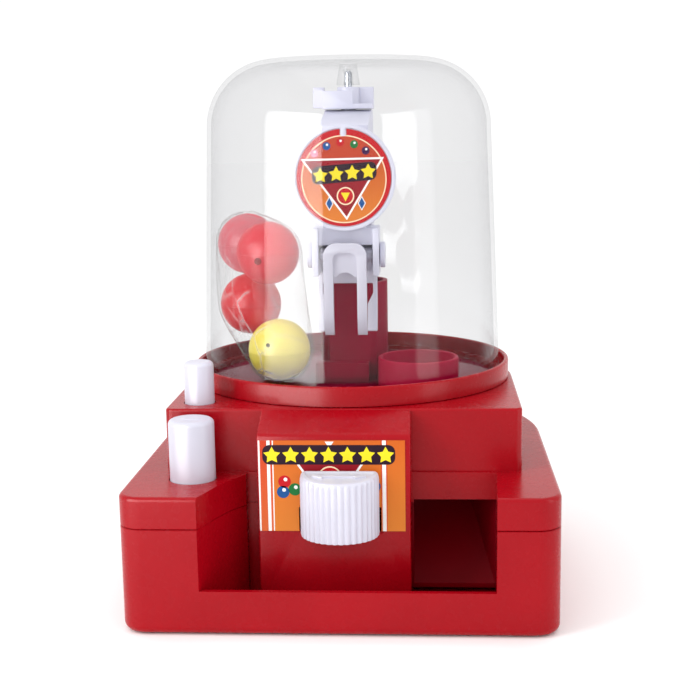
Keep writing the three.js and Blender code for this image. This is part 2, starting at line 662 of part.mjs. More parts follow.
// The front jaw is a fork: an arched rim with two prongs, and a thinner web between them at the top.
function frontJaw() {
  const { pivotY, pivotZ, front } = CLAW;
  const half = 8.5;
  const inner = 4.7;
  const archTop = 136;
  const side = [[front, 132], [front, 108], [front + 1.2, 102.4], [front + 3, 99.2], [front + 4.4, 98.8],
    [front + 5, 100.2], [front + 3.6, 104], [front + 3.1, 108], [front + 3.1, 132]];
  const arch = (w, corner, top, y0, y1) => join(
    block(-w, w, y0, y1, 100, top - corner),
    block(-w + corner, w - corner, y0, y1, 100, top),
    rodY(-w + corner, y0, y1, top - corner, corner, 20),
    rodY(w - corner, y0, y1, top - corner, corner, 20),
  );
  const rim = cut(
    arch(half, 5, archTop, front, front + 3.1),
    arch(inner, 2.6, archTop - half + inner, front - 1, front + 5),
  );
  const rimBottom = block(-half - 1, half + 1, front - 1, front + 5, 90, 110);
  const web = cut(
    block(-inner - 0.5, inner + 0.5, front + 1.6, front + 3.1, 122.5, archTop - 3.2),
    rodY(0, front, front + 5, 120, 4.4, 24),
  );
  const cheeks = [-1, 1].map((hand) => {
    const near = hand * 5.2;
    const far = hand * 8.2;
    const profile = [[front + 2, 124], [front + 2, 131], [pivotY + 1, 133], [pivotY + 2.6, 128]];
    return sweepX(profile, Math.min(near, far), Math.max(near, far));
  });
  const body = join(
    cut(rim, rimBottom),
    sweepX(side, -half, -inner),
    sweepX(side, inner, half),
    web,
    ...cheeks,
    rodX(-10.3, 10.3, pivotY, pivotZ, 3.2, 20),
    block(-2.2, 2.2, pivotY, JAW_ROD.y + 1.6, 129.4, 133.2),
  );
  return cut(body, rodX(-12, 12, pivotY, pivotZ, 1.7, 14));
}

// The rear jaw is fixed to the yoke, because the column behind it leaves it no room to swing.
function rearJaw() {
  const back = STEM.back - 1.5 - GAP;
  const profile = [[back, 137], [back, 110], [back - 1.6, 103], [back - 3.6, 98.5], [back - 4.8, 98.7],
    [back - 3.4, 103.6], [back - 1.8, 110.4], [back - 1.8, 137]];
  const plate = sweepX(profile, -12, 12);
  const shoulders = [[-13, -YOKE.inner + GAP], [YOKE.inner - GAP, 13]].map(([x0, x1]) =>
    block(x0, x1, back - 6, back + 1, YOKE.bottom - GAP, 140),
  );
  const notch = block(-3.4, 3.4, back - 6, back + 1, 125.5, 140);
  const between = new THREE.Shape([
    new THREE.Vector2(-7.9, 90), new THREE.Vector2(7.9, 90), new THREE.Vector2(7.9, 109.4),
    new THREE.Vector2(10.2, 114), new THREE.Vector2(10.2, 118), new THREE.Vector2(-10.2, 118),
    new THREE.Vector2(-10.2, 114), new THREE.Vector2(-7.9, 109.4),
  ]);
  const opening = new THREE.ExtrudeGeometry(between, { depth: 20, bevelEnabled: false });
  opening.rotateX(Math.PI / 2);
  opening.translate(0, back + 5, 0);
  return cut(plate, ...shoulders, solid(opening), notch);
}

function jawRod() {
  const { y, radius, bottom, head, top } = JAW_ROD;
  return join(post(0, y, radius, bottom, head + 0.4, 12), post(0, y, 3, head, top, 20));
}

// ---- buttons, levers and springs ----
function button({ x, y, radius, top }, flangeBottom, flangeTop, stemRadius, stemBottom) {
  const rounding = 1.6;
  const flange = radius + 1.6;
  const stem = [[0, stemBottom], [1, stemBottom], [stemRadius, stemBottom + 1.8], [stemRadius, flangeBottom]];
  const cap = [[flange, flangeBottom], [flange, flangeTop], [radius, flangeTop], [radius, top - rounding],
    [radius - rounding * 0.3, top - rounding * 0.3], [radius - rounding, top], [0, top]];
  return turn([...stem, ...cap], x, y, 28);
}

function dropLever() {
  const { x, z, radius } = DROP_SHAFT;
  const bottom = z - 1.5;
  const top = z + 1.5;
  const plate = raise(
    [[-67.5, -73], [-48, -73], [-48, 3.4], [-14, 3.4], [-14, 20.6], [-58, 20.6], [-67.5, 8]],
    bottom, top,
  );
  const tab = block(x, -66, -51, -22, bottom, top);
  const prongs = [[2.7, 5.2], [18.8, 21.3]].map(([y0, y1]) => block(-16, 2.2, y0, y1, bottom, top));
  const pegs = [[5, 7.4], [16.6, 19]].map(([y0, y1]) => rodY(0, y0, y1, z, 1.35, 14));
  return join(plate, tab, rodY(x, -56.5, -16.5, z, radius, 16), ...prongs, ...pegs);
}

function releaseRocker() {
  const { x, z, radius } = ROCKER_SHAFT;
  const frontArm = block(-61, x, -47.4, -39.8, z, z + 3.2);
  const rearArm = block(x, -15, -2.5, 26.5, z - 4, z - 0.8);
  const prongs = [[-1.4, 0.9], [23.1, 25.4]].map(([y0, y1]) => block(-17, 2.6, y0, y1, z - 4, z - 0.8));
  const pegs = [[0.5, 4.2], [19.8, 23.5]].map(([y0, y1]) => rodY(0, y0, y1, z - 2.5, 1.5, 14));
  const well = post(0, AXIS_Y, 12.6, z - 6, z, 28);
  return join(rodY(x, -47.4, 26.5, z, radius, 18), frontArm, cut(rearArm, well), ...prongs, ...pegs);
}

function rockerBracket() {
  const { x, z, radius } = ROCKER_SHAFT;
  const upright = ([y0, y1]) =>
    cut(
      block(x - 4.6, x + 4.6, y0, y1, 3, z + 3),
      rodY(x, y0 - 1, y1 + 1, z, radius + 0.2, 20),
      block(x - 2.6, x + 2.6, y0 - 1, y1 + 1, z, z + 5),
    );
  const foot = block(x - 4.6, x + 4.6, -38, -9.2, BASE.floor + GAP, 5);
  return join(foot, upright([-38, -35]), upright([-12, -9.2]));
}

// A round wire wound from z0 to z1.
function spring(x, y, z0, z1, coil, wire, turns) {
  class Helix extends THREE.Curve {
    getPoint(t, target = new THREE.Vector3()) {
      const angle = t * turns * 2 * Math.PI;
      const height = z0 + wire + t * (z1 - z0 - 2 * wire);
      return target.set(x + coil * Math.cos(angle), y + coil * Math.sin(angle), height);
    }
  }
  const section = new THREE.Shape(arc(0, 0, wire, 0, 270, 3).map(([u, v]) => new THREE.Vector2(u, v)));
  return solid(new THREE.ExtrudeGeometry(section, { steps: turns * 8, extrudePath: new Helix() }));
}

// ---- capsules and their bag ----
// Half of a hollow ball with its pole along +Z or -Z and a vent at the pole.
function capsuleHalf({ x, y, z }, hand) {
  const { radius, wall, vent, rim } = CAPSULE;
  const steps = 3;
  const first = Math.asin(vent / radius);
  const profile = [];
  for (let i = 0; i <= steps; i += 1) {
    const angle = first + ((Math.PI / 2 - first) * i) / steps;
    profile.push([radius * Math.sin(angle), radius * Math.cos(angle)]);
  }
  for (let i = steps; i >= 0; i -= 1) {
    const angle = first + ((Math.PI / 2 - first) * i) / steps;
    profile.push([(radius - wall) * Math.sin(angle), (radius - wall) * Math.cos(angle)]);
  }
  const placed = profile.map(([r, h]) => [r, z + hand * (h + rim)]);
  return turn(hand > 0 ? placed.reverse() : placed, x, y, 14);
}

// The film shrinks onto the capsules: each point of a small sphere moves out to the capsule that reaches
// furthest that way. A small mouth at the top leaves the bag open.
function wrapSurface(margin) {
  const geometry = new THREE.SphereGeometry(1, 18, 12);
  geometry.rotateX(Math.PI / 2);
  const position = geometry.getAttribute("position");
  const way = new THREE.Vector3();
  const centres = CAPSULES.map(({ x, y, z }) => new THREE.Vector3(x, y, z));
  for (let i = 0; i < position.count; i += 1) {
    way.fromBufferAttribute(position, i).normalize();
    const furthest = centres.reduce((best, next) => (way.dot(next) > way.dot(best) ? next : best));
    const place = furthest.clone().addScaledVector(way, CAPSULE.radius + margin);
    position.setXYZ(i, place.x, place.y, place.z);
  }
  return solid(geometry);
}

function capsuleBag() {
  const mouth = CAPSULES[3];
  return cut(wrapSurface(FILM.outer), wrapSurface(FILM.inner), post(mouth.x, mouth.y, 3, mouth.z, 160, 12));
}

function screw([x, y]) {
  const { head, shaft, headBottom, headTop, tip } = SCREW;
  return turn(
    [[0, headBottom], [head, headBottom], [head, headTop], [shaft, headTop + 0.6], [shaft, tip - 1.5],
      [0.2, tip], [0, tip]],
    x, y, 8,
  );
}

// ---- assembly ----
const machine = new THREE.Group();
mesh("base_tray", baseTray(), red, machine);
mesh("base_cover", baseCover(), red, machine);
mesh("control_panel", controlPanel(), red, machine);
mesh("panel_label", panelLabel(), print, machine);
mesh("knob", knob(), white, machine);
mesh("knob_slider", knobSlider(), white, machine);
mesh("gear_frame", gearFrame(), grey, machine);
mesh("rocker_bracket", rockerBracket(), grey, machine);
mesh("prize_chute", prizeChute(), darkRed, machine);
mesh("drop_button", button(DROP_BUTTON, 46.6, 49.2, 3.5, DROP_SHAFT.z + 1.8), white, machine);
mesh("drop_lever", dropLever(), grey, machine);
mesh("drop_spring", spring(DROP_BUTTON.x, DROP_BUTTON.y, BASE.floor + 0.3, 22.2, 4.5, 0.5, 6), steel, machine);
mesh("release_button", button(RELEASE_BUTTON, 71, 73.6, 3, ROCKER_SHAFT.z + 3.5), white, machine);
mesh("release_rocker", releaseRocker(), grey, machine);
mesh("release_spring", spring(RELEASE_BUTTON.x, RELEASE_BUTTON.y, 58.8, 70.7, 5, 0.45, 4), steel, machine);
SCREWS.forEach((place, i) => mesh(`base_screw_${i + 1}`, screw(place), steel, machine));

const onAxis = new THREE.Group();
onAxis.position.y = AXIS_Y;
machine.add(onAxis);
mesh("deck", deck(), darkRed, onAxis);
mesh("chute_ring", chuteRing(), red, onAxis);
mesh("dome_ring", domeRing(), red, onAxis);
mesh("dome", dome(), clear, onAxis);
mesh("column_sleeve", columnSleeve(), darkRed, onAxis);
mesh("crane_mast", mast(), white, onAxis);
mesh("pinion_gear", pinion(), white, onAxis);
mesh("crane_hood", hood(), white, onAxis);
mesh("top_bracket", topBracket(), white, onAxis);
mesh("pivot_pin", pivotPin(), steel, onAxis);
mesh("sign_disc", signDisc(), white, onAxis);
mesh("sign_label", signLabel(), print, onAxis);
mesh("release_rod", releaseRod(), grey, onAxis);
mesh("release_crank", releaseCrank(), grey, onAxis);
mesh("lift_rod", liftRod(), grey, onAxis);
mesh("lift_collar", liftCollar(), grey, onAxis);
mesh("lift_arm", liftArm(), grey, onAxis);
mesh("claw_carriage", clawCarriage(), white, onAxis);
mesh("jaw_rod", jawRod(), steel, onAxis);
mesh("jaw_pin", jawPin(), white, onAxis);
mesh("front_jaw", frontJaw(), white, onAxis);
mesh("rear_jaw", rearJaw(), white, onAxis);

for (const capsule of CAPSULES) {
  const shell = plastic(capsule.color, 0.3);
  mesh(`${capsule.name}_top`, capsuleHalf(capsule, 1), shell, onAxis);
  mesh(`${capsule.name}_bottom`, capsuleHalf(capsule, -1), shell, onAxis);
}
mesh("capsule_bag", capsuleBag(), film, onAxis);

export default machine;
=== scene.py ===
"""The looks of the claw crane toy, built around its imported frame. Metres, +Z up, the front faces -Y."""
import math
import bmesh
import bpy
from mathutils import Matrix, Vector, noise


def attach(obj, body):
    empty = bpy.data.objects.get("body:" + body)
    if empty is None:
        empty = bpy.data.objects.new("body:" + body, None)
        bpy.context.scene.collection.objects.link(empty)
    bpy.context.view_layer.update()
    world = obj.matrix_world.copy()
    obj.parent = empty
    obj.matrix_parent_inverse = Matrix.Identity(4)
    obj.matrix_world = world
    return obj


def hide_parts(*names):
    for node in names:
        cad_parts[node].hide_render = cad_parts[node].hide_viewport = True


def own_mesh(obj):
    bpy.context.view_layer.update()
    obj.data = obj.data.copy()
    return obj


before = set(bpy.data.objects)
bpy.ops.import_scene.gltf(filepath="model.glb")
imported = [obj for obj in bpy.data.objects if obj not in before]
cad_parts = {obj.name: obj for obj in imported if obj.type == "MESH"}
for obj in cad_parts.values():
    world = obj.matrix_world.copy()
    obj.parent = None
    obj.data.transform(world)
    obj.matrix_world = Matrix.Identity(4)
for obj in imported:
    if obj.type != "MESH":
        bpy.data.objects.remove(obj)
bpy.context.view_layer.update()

MM = 0.001
# All sizes below are in millimetres, unless a comment says metres.
AXIS_Y = 12.0  # the upright axis of the crane, dome and deck
CHUTE_X, CHUTE_Y, CHUTE_RADIUS = 28.5, AXIS_Y - 23, 14.9  # the hole in the deck that a prize drops through
DROP_KEY = (-56, -65.8)  # the upright axes of the two push buttons
RELEASE_KEY = (-56.5, -43.6)
SCREWS = ((-69, -81), (69, -78), (-50, 58), (50, 58))


# ---- camera, floor and light, in metres ----
def make_camera():
    bpy.context.scene.view_settings.view_transform = "Standard"
    yaw, pitch, roll = -0.0642, 0.1755, -0.0159
    ahead = Vector((math.sin(yaw) * math.cos(pitch), math.cos(yaw) * math.cos(pitch), -math.sin(pitch)))
    right = Vector((math.cos(yaw), -math.sin(yaw), 0))
    up = right.cross(ahead)
    side = math.cos(roll) * right + math.sin(roll) * up
    top = -math.sin(roll) * right + math.cos(roll) * up
    data = bpy.data.cameras.new("camera")
    data.lens = 64.95
    data.sensor_width = 36
    data.clip_start = 0.01
    camera = bpy.data.objects.new("camera", data)
    stand = (0.0333, -0.5214, 0.1813)
    turn = Matrix((side, top, -ahead)).transposed().to_4x4()
    camera.matrix_world = Matrix.Translation(stand) @ turn
    bpy.context.collection.objects.link(camera)
    bpy.context.scene.camera = camera


def area_light(name, stand, target, size, watts):
    data = bpy.data.lights.new(name, "AREA")
    data.shape = "RECTANGLE"
    data.size, data.size_y = size
    data.energy = watts
    light = bpy.data.objects.new(name, data)
    light.location = stand
    light.rotation_euler = (Vector(target) - Vector(stand)).to_track_quat("-Z", "Y").to_euler()
    bpy.context.collection.objects.link(light)
    return light


def make_studio():
    world = bpy.data.worlds.new("studio")
    world.use_nodes = True
    background = world.node_tree.nodes["Background"]
    background.inputs["Color"].default_value = (1, 1, 1, 1)
    background.inputs["Strength"].default_value = 1.05
    bpy.context.scene.world = world
    middle = (0, 0, 0.09)
    area_light("key_strip", (-0.42, -0.38, 0.42), middle, (0.18, 0.6), 1.6).visible_glossy = False
    area_light("fill_strip", (0.5, -0.3, 0.3), middle, (0.16, 0.6), 0.4).visible_glossy = False
    area_light("top_box", (0.0, 0.05, 0.75), middle, (0.5, 0.5), 0.6)
    make_cards()
    make_floor()


def make_cards():
    """Two upright cards that light nothing diffusely and show only as bright bands in glossy surfaces, meant for
    the dome.
    """
    level_z, height, aim = 0.165, 0.33, 0.3
    for name, bearing, (x, y), width, watts in (("card_left", -45, (-0.235, -0.291), 0.318, 3.4),
                                                ("card_right", 63, (0.325, -0.187), 0.118, 0.35)):
        turn = math.radians(bearing)
        towards = (x - aim * math.sin(turn), y + aim * math.cos(turn), level_z)
        area_light(name, (x, y, level_z), towards, (width, height), watts).visible_diffuse = False


def make_floor():
    reach, drop = 6.0, -0.0004
    corners = [(-reach, -reach, 0), (reach, -reach, 0), (reach, reach, 0), (-reach, reach, 0)]
    mesh = bpy.data.meshes.new("floor")
    mesh.from_pydata(corners, [], [(0, 1, 2, 3)])
    floor = bpy.data.objects.new("floor", mesh)
    floor.location.z = drop
    bpy.context.collection.objects.link(floor)
    floor.data.materials.append(plastic("floor_paper", (253, 253, 253), 0.9, grain=0, drift=0.0))


# ---- materials ----
def linear(rgb):
    """A display colour, 0 to 255, as the linear one that the shaders take."""
    scaled = [c / 255 for c in rgb]
    return tuple(c / 12.92 if c <= 0.04045 else ((c + 0.055) / 1.055) ** 2.4 for c in scaled)


def new_material(name):
    material = bpy.data.materials.new(name)
    material.use_nodes = True
    nodes = material.node_tree.nodes
    return material, nodes, material.node_tree.links, nodes["Principled BSDF"]


def noise_node(nodes, links, scale, detail):
    place_node = nodes.new("ShaderNodeTexCoord")
    texture = nodes.new("ShaderNodeTexNoise")
    texture.inputs["Scale"].default_value = scale
    texture.inputs["Detail"].default_value = detail
    links.new(place_node.outputs["Object"], texture.inputs["Vector"])
    return texture


def remap(nodes, links, value, taken, given):
    """Carry a value from one span, low and high, to another."""
    span = nodes.new("ShaderNodeMapRange")
    for socket, number in zip(("From Min", "From Max", "To Min", "To Max"), (*taken, *given)):
        span.inputs[socket].default_value = number
    links.new(value, span.inputs["Value"])
    return span.outputs["Result"]


def colour_ramp(nodes, links, value, low, high, start=0.0, end=1.0):
    ramp = nodes.new("ShaderNodeValToRGB")
    first, last = ramp.color_ramp.elements
    first.position, last.position = start, end
    first.color, last.color = (*low, 1), (*high, 1)
    links.new(value, ramp.inputs["Fac"])
    return ramp.outputs["Color"]


def bump(nodes, links, height, strength, *shaders):
    node = nodes.new("ShaderNodeBump")
    node.inputs["Strength"].default_value = strength
    node.inputs["Distance"].default_value = 0.001
    links.new(height, node.inputs["Height"])
    for shader in shaders:
        links.new(node.outputs["Normal"], shader.inputs["Normal"])


def plastic(name, rgb, roughness, grain, drift=0.06, coat=0.0, metal=0.0, scale=90, shine=0.5):
    """Moulded plastic: its colour drifts a little, and its skin has a faint flow ripple and fine wear."""
    material, nodes, links, shader = new_material(name)
    base = Vector(linear(rgb))
    tint = noise_node(nodes, links, scale * 0.4, 2.0).outputs["Fac"]
    colour = colour_ramp(nodes, links, tint, base * (1 - drift), base * (1 + drift), 0.3, 0.7)
    links.new(colour, shader.inputs["Base Color"])
    shader.inputs["Metallic"].default_value = metal
    shader.inputs["Specular IOR Level"].default_value = shine
    shader.inputs["Coat Weight"].default_value = coat
    shader.inputs["Coat Roughness"].default_value = 0.06
    scuff = noise_node(nodes, links, scale * 3, 4.0).outputs["Fac"]
    worn = remap(nodes, links, scuff, (0, 1), (max(roughness - 0.03, 0.02), roughness + 0.05))
    links.new(worn, shader.inputs["Roughness"])
    if grain:
        bump(nodes, links, noise_node(nodes, links, scale, 2.0).outputs["Fac"], grain, shader)
    return material


def see_through(material, rgb, share):
    """Let part of the light pass straight through a thin tinted shell."""
    nodes, links = material.node_tree.nodes, material.node_tree.links
    through = nodes.new("ShaderNodeBsdfTransparent")
    through.inputs["Color"].default_value = (*[0.5 + 0.5 * c for c in linear(rgb)], 1)
    mix = nodes.new("ShaderNodeMixShader")
    mix.inputs["Fac"].default_value = share
    links.new(nodes["Principled BSDF"].outputs["BSDF"], mix.inputs[1])
    links.new(through.outputs["BSDF"], mix.inputs[2])
    links.new(mix.outputs["Shader"], nodes["Material Output"].inputs["Surface"])
    return material


def crumple(material, haze, crease_glint, scale):
    """Milky patches over a clear film, and fine white lines along its folds: painted highlights that stand in
    for the glints on its creases.
    """
    nodes, links = material.node_tree.nodes, material.node_tree.links
    cloud = noise_node(nodes, links, scale * 0.35, 3.0).outputs["Fac"]
    patch = remap(nodes, links, cloud, (0.38, 0.68), (haze * 0.2, haze))
    # Painted highlight: the fine white lines along the fold pattern stand in for the glints on the film's
    # creases.
    bend = noise_node(nodes, links, scale * 0.6, 2.0)
    place_node = nodes.new("ShaderNodeTexCoord")
    shift = nodes.new("ShaderNodeVectorMath")
    shift.operation = "MULTIPLY_ADD"
    shift.inputs[1].default_value = (0.006, 0.006, 0.006)
    links.new(bend.outputs["Color"], shift.inputs[0])
    links.new(place_node.outputs["Object"], shift.inputs[2])
    glint_folds = nodes.new("ShaderNodeTexVoronoi")
    glint_folds.feature = "DISTANCE_TO_EDGE"
    glint_folds.inputs["Scale"].default_value = scale
    links.new(shift.outputs["Vector"], glint_folds.inputs["Vector"])
    line = remap(nodes, links, glint_folds.outputs["Distance"], (0, 0.055), (crease_glint, 0))
    fade = remap(nodes, links, bend.outputs["Fac"], (0.46, 0.62), (0, 1))
    fainter = join(nodes, links, "MULTIPLY", line, fade)
    both = join(nodes, links, "MAXIMUM", patch, fainter)
    haze_and_glint_white = nodes.new("ShaderNodeBsdfDiffuse")
    haze_and_glint_white.inputs["Color"].default_value = (0.97, 0.965, 0.96, 1)
    mix = nodes.new("ShaderNodeMixShader")
    surface = nodes["Material Output"].inputs["Surface"]
    links.new(both, mix.inputs["Fac"])
    links.new(surface.links[0].from_socket, mix.inputs[1])
    links.new(haze_and_glint_white.outputs["BSDF"], mix.inputs[2])
    links.new(mix.outputs["Shader"], surface)
    return material


def join(nodes, links, operation, one, other):
    node = nodes.new("ShaderNodeMath")
    node.operation = operation
    links.new(one, node.inputs[0])
    links.new(other, node.inputs[1])
    return node.outputs["Value"]


def clear_film(name, edge, middle, roughness, gloss, wrinkle=0.0, scale=300):
    """Thin clear plastic: it darkens a little where the eye runs along it, and keeps sharp highlights."""
    edge_gloss = 0.3
    material, nodes, links, shader = new_material(name)
    nodes.remove(shader)
    facing = nodes.new("ShaderNodeLayerWeight")
    facing.inputs["Blend"].default_value = 0.5
    slant = facing.outputs["Facing"]
    through = nodes.new("ShaderNodeBsdfTransparent")
    shine = nodes.new("ShaderNodeBsdfGlossy")
    shine.inputs["Roughness"].default_value = roughness
    mix = nodes.new("ShaderNodeMixShader")
    links.new(colour_ramp(nodes, links, slant, middle, edge, start=0.25), through.inputs["Color"])
    links.new(colour_ramp(nodes, links, slant, [gloss] * 3, [edge_gloss] * 3, start=0.55), mix.inputs["Fac"])
    links.new(through.outputs["BSDF"], mix.inputs[1])
    links.new(shine.outputs["BSDF"], mix.inputs[2])
    links.new(mix.outputs["Shader"], nodes["Material Output"].inputs["Surface"])
    if wrinkle:
        bump(nodes, links, noise_node(nodes, links, scale, 3.0).outputs["Fac"], wrinkle, shine, facing)
    return material


# ---- mesh helpers ----
def new_object(name, mesh):
    obj = bpy.data.objects.new(name, mesh)
    bpy.context.collection.objects.link(obj)
    return obj


def from_faces(name, points, faces):
    """A mesh from points in millimetres."""
    mesh = bpy.data.meshes.new(name)
    mesh.from_pydata([tuple(c * MM for c in p) for p in points], [], faces)
    mesh.validate()
    return new_object(name, mesh)


def arc(x, y, radius, start, end, steps):
    """Points from one angle to another in degrees, both ends included."""
    turns = [math.radians(start + (end - start) * i / steps) for i in range(steps + 1)]
    return [(x + radius * math.cos(a), y + radius * math.sin(a)) for a in turns]


def stack(name, rings):
    """Equal outlines at their own heights, closed at both ends."""
    count = len(rings[0][0])
    points = [(x, y, z) for outline, z in rings for x, y in outline]
    faces = []
    for level in range(len(rings) - 1):
        for i in range(count):
            a, b = level * count + i, level * count + (i + 1) % count
            faces.append((a, b, b + count, a + count))
    faces.append(tuple(reversed(range(count))))
    faces.append(tuple(range((len(rings) - 1) * count, len(rings) * count)))
    return from_faces(name, points, faces)


def prism(name, outline, z0, z1):
    return stack(name, [(outline, z0), (outline, z1)])


def block(name, x0, x1, y0, y1, z0, z1):
    return prism(name, [(x0, y0), (x1, y0), (x1, y1), (x0, y1)], z0, z1)


def round_bar(name, x, y, radius, z0, z1, sides=64):
    return prism(name, arc(x, y, radius, 0, 360, sides)[:-1], z0, z1)


def turned(name, profile, x, y, sides, closed=True):
    """A profile of (radius, z) points about an upright axis. A closed profile returns to its first point."""
    points = []
    rows = []
    for r, z in profile:
        if r < 1e-6:
            rows.append([len(points)])
            points.append((x, y, z))
            continue
        rows.append(list(range(len(points), len(points) + sides)))
        points += [(x + r * math.cos(2 * math.pi * i / sides), y + r * math.sin(2 * math.pi * i / sides), z)
                   for i in range(sides)]
    pairs = list(zip(rows, rows[1:] + rows[:1])) if closed else list(zip(rows, rows[1:]))
    faces = []
    for low, high in pairs:
        for i in range(sides):
            j = (i + 1) % sides
            if len(low) == 1 and len(high) == 1:
                break
            if len(low) == 1:
                faces.append((low[0], high[j], high[i]))
            elif len(high) == 1:
                faces.append((low[i], low[j], high[0]))
            else:
                faces.append((low[i], low[j], high[j], high[i]))
    obj = from_faces(name, points, faces)
    face_out(obj)
    return obj


def face_out(obj):
    """Turn every face outwards."""
    bm = bmesh.new()
    bm.from_mesh(obj.data)
    bmesh.ops.recalc_face_normals(bm, faces=bm.faces)
    bm.to_mesh(obj.data)
    bm.free()


def settle(obj):
    """Turn the object's modifiers into plain mesh."""
    graph = bpy.context.evaluated_depsgraph_get()
    mesh = bpy.data.meshes.new_from_object(obj.evaluated_get(graph))
    obj.modifiers.clear()
    obj.data = mesh


def combine(obj, tools, operation="DIFFERENCE"):
    """Cut the tools out of an object, or join them to it. The tools are used up."""
    for tool in tools:
        modifier = obj.modifiers.new("cut", "BOOLEAN")
        modifier.object = tool
        modifier.operation = operation
        modifier.solver = "MANIFOLD"
    settle(obj)
    for tool in tools:
        bpy.data.objects.remove(tool)
    return obj


def soften(obj, width, segments, sharp=30):
    """Round the edges as a mould does, and shade the rest smooth."""
    bm = bmesh.new()
    bm.from_mesh(obj.data)
    bmesh.ops.remove_doubles(bm, verts=bm.verts, dist=0.00001)
    bmesh.ops.dissolve_limit(bm, angle_limit=math.radians(1.0), verts=bm.verts, edges=bm.edges)
    bm.to_mesh(obj.data)
    bm.free()
    bevel = obj.modifiers.new("soften", "BEVEL")
    bevel.width = width * MM
    bevel.segments = segments
    bevel.limit_method = "ANGLE"
    bevel.angle_limit = math.radians(sharp)
    bevel.miter_outer = "MITER_ARC"
    settle(obj)
    return smooth(obj, sharp + 8)


def smooth(obj, angle=40):
    """Shade smooth, but for edges sharper than the angle in degrees."""
    for polygon in obj.data.polygons:
        polygon.use_smooth = True
    obj.data.set_sharp_from_angle(angle=math.radians(angle))
    return obj


def level(obj):
    """Let the broad faces set the shading, so a flat stays flat up to its rounded edge."""
    weighting = obj.modifiers.new("level", "WEIGHTED_NORMAL")
    weighting.weight = 90
    weighting.keep_sharp = True
    settle(obj)
    return obj


def place(obj, body, material, slot, *nodes):
    """Give a piece its material, the body it moves with, and the frame's nodes it stands for."""
    if material:
        obj.data.materials.clear()
        obj.data.materials.append(material)
    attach(obj, body)
    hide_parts(*nodes)
    return obj


def refined(node, body, material, slot, width, segments):
    """A copy of a frame node with rounded edges and smooth shading."""
    mesh = bpy.data.objects[node].data.copy()
    mesh.materials.clear()
    obj = new_object(node + "_piece", mesh)
    soften(obj, width, segments, sharp=32)
    return place(obj, body, material, slot, node)


# ---- base ----
BASE = dict(half=80, front=-92, corner=9)
BOX = dict(half=68, front=-56, corner=3)
SEAM, COVER_FOOT, SHOULDER, BOX_TOP = 39.6, 39.8, 51.6, 76.0
TRAY_BACK, TRAY_FRONT = -57.3, -89.8
PAST_FRONT = -97  # a cut that runs out through the front wall
CASE_WALL = 2.2


def d_outline(plan, inset=0.0):
    """A half-round back, straight sides and a flat front with rounded corners."""
    w, f = plan["half"] - inset, plan["front"] + inset
    r = max(plan["corner"] - inset, 0.8)
    return (arc(0, AXIS_Y, w, 0, 180, 72) + arc(-w + r, f + r, r, 180, 270, 8)
            + arc(w - r, f + r, r, 270, 360, 8))


def recess_outline(grow, front):
    """The plan of the open prize tray. Its left side steps inwards as it runs back."""
    return [(-50 - grow + (front - TRAY_FRONT) * 0.3, front), (56.5 + grow, front),
            (58.3 + grow, TRAY_BACK + grow), (-36.7 - grow, TRAY_BACK + grow), (-36.7 - grow, -61.4),
            (-41.6 - grow, -68.5), (-45.4 - grow, -77.6)]


def fillet_rings(plan, radius, z, upward):
    """Rings that round an outline's edge over to a flat face at height z."""
    rings, steps = [], 6
    for i in range(steps + 1):
        a = math.pi / 2 * i / steps
        rings.append((d_outline(plan, radius * (1 - math.cos(a))), z - radius + radius * math.sin(a)))
    if upward:
        return rings
    return [(outline, 2 * z - height) for outline, height in reversed(rings)]


def make_tray(red):
    tray = stack("base_tray_piece", fillet_rings(BASE, 3.0, 0, False) + [(d_outline(BASE), SEAM - 0.35),
                 (d_outline(BASE, 0.35), SEAM)])
    above = 42
    inside = prism("inside", d_outline(BASE, CASE_WALL), 2.4, above)
    combine(inside, [prism("island", recess_outline(2, PAST_FRONT), -1, 44)])
    combine(tray, [inside, prism("pocket", recess_outline(0, TRAY_FRONT), 3, above),
                   prism("mouth", recess_outline(0, PAST_FRONT), 16.6, above),
                   block("door", -31.1, 58.3, TRAY_BACK - 1, TRAY_BACK + 3, 3, above)])
    combine(tray, [round_bar("boss", x, y, 4, 1, SEAM - 0.1, 24) for x, y in SCREWS], "UNION")
    combine(tray, [round_bar("sink", x, y, 3.3, -1, 5.3, 32) for x, y in SCREWS]
            + [round_bar("hole", x, y, 1.7, -1, above, 16) for x, y in SCREWS])
    rocker_posts = (-56, -20)
    combine(tray, [block("post", -75.5, -68.5, y, y + 3, 1, 27.5) for y in rocker_posts], "UNION")
    combine(tray, [block("seat", -74.4, -69.6, y - 1, y + 4, 21.2, 30) for y in rocker_posts])
    place(level(soften(tray, 0.7, 3)), "base", red, "red_plastic", "base_tray")


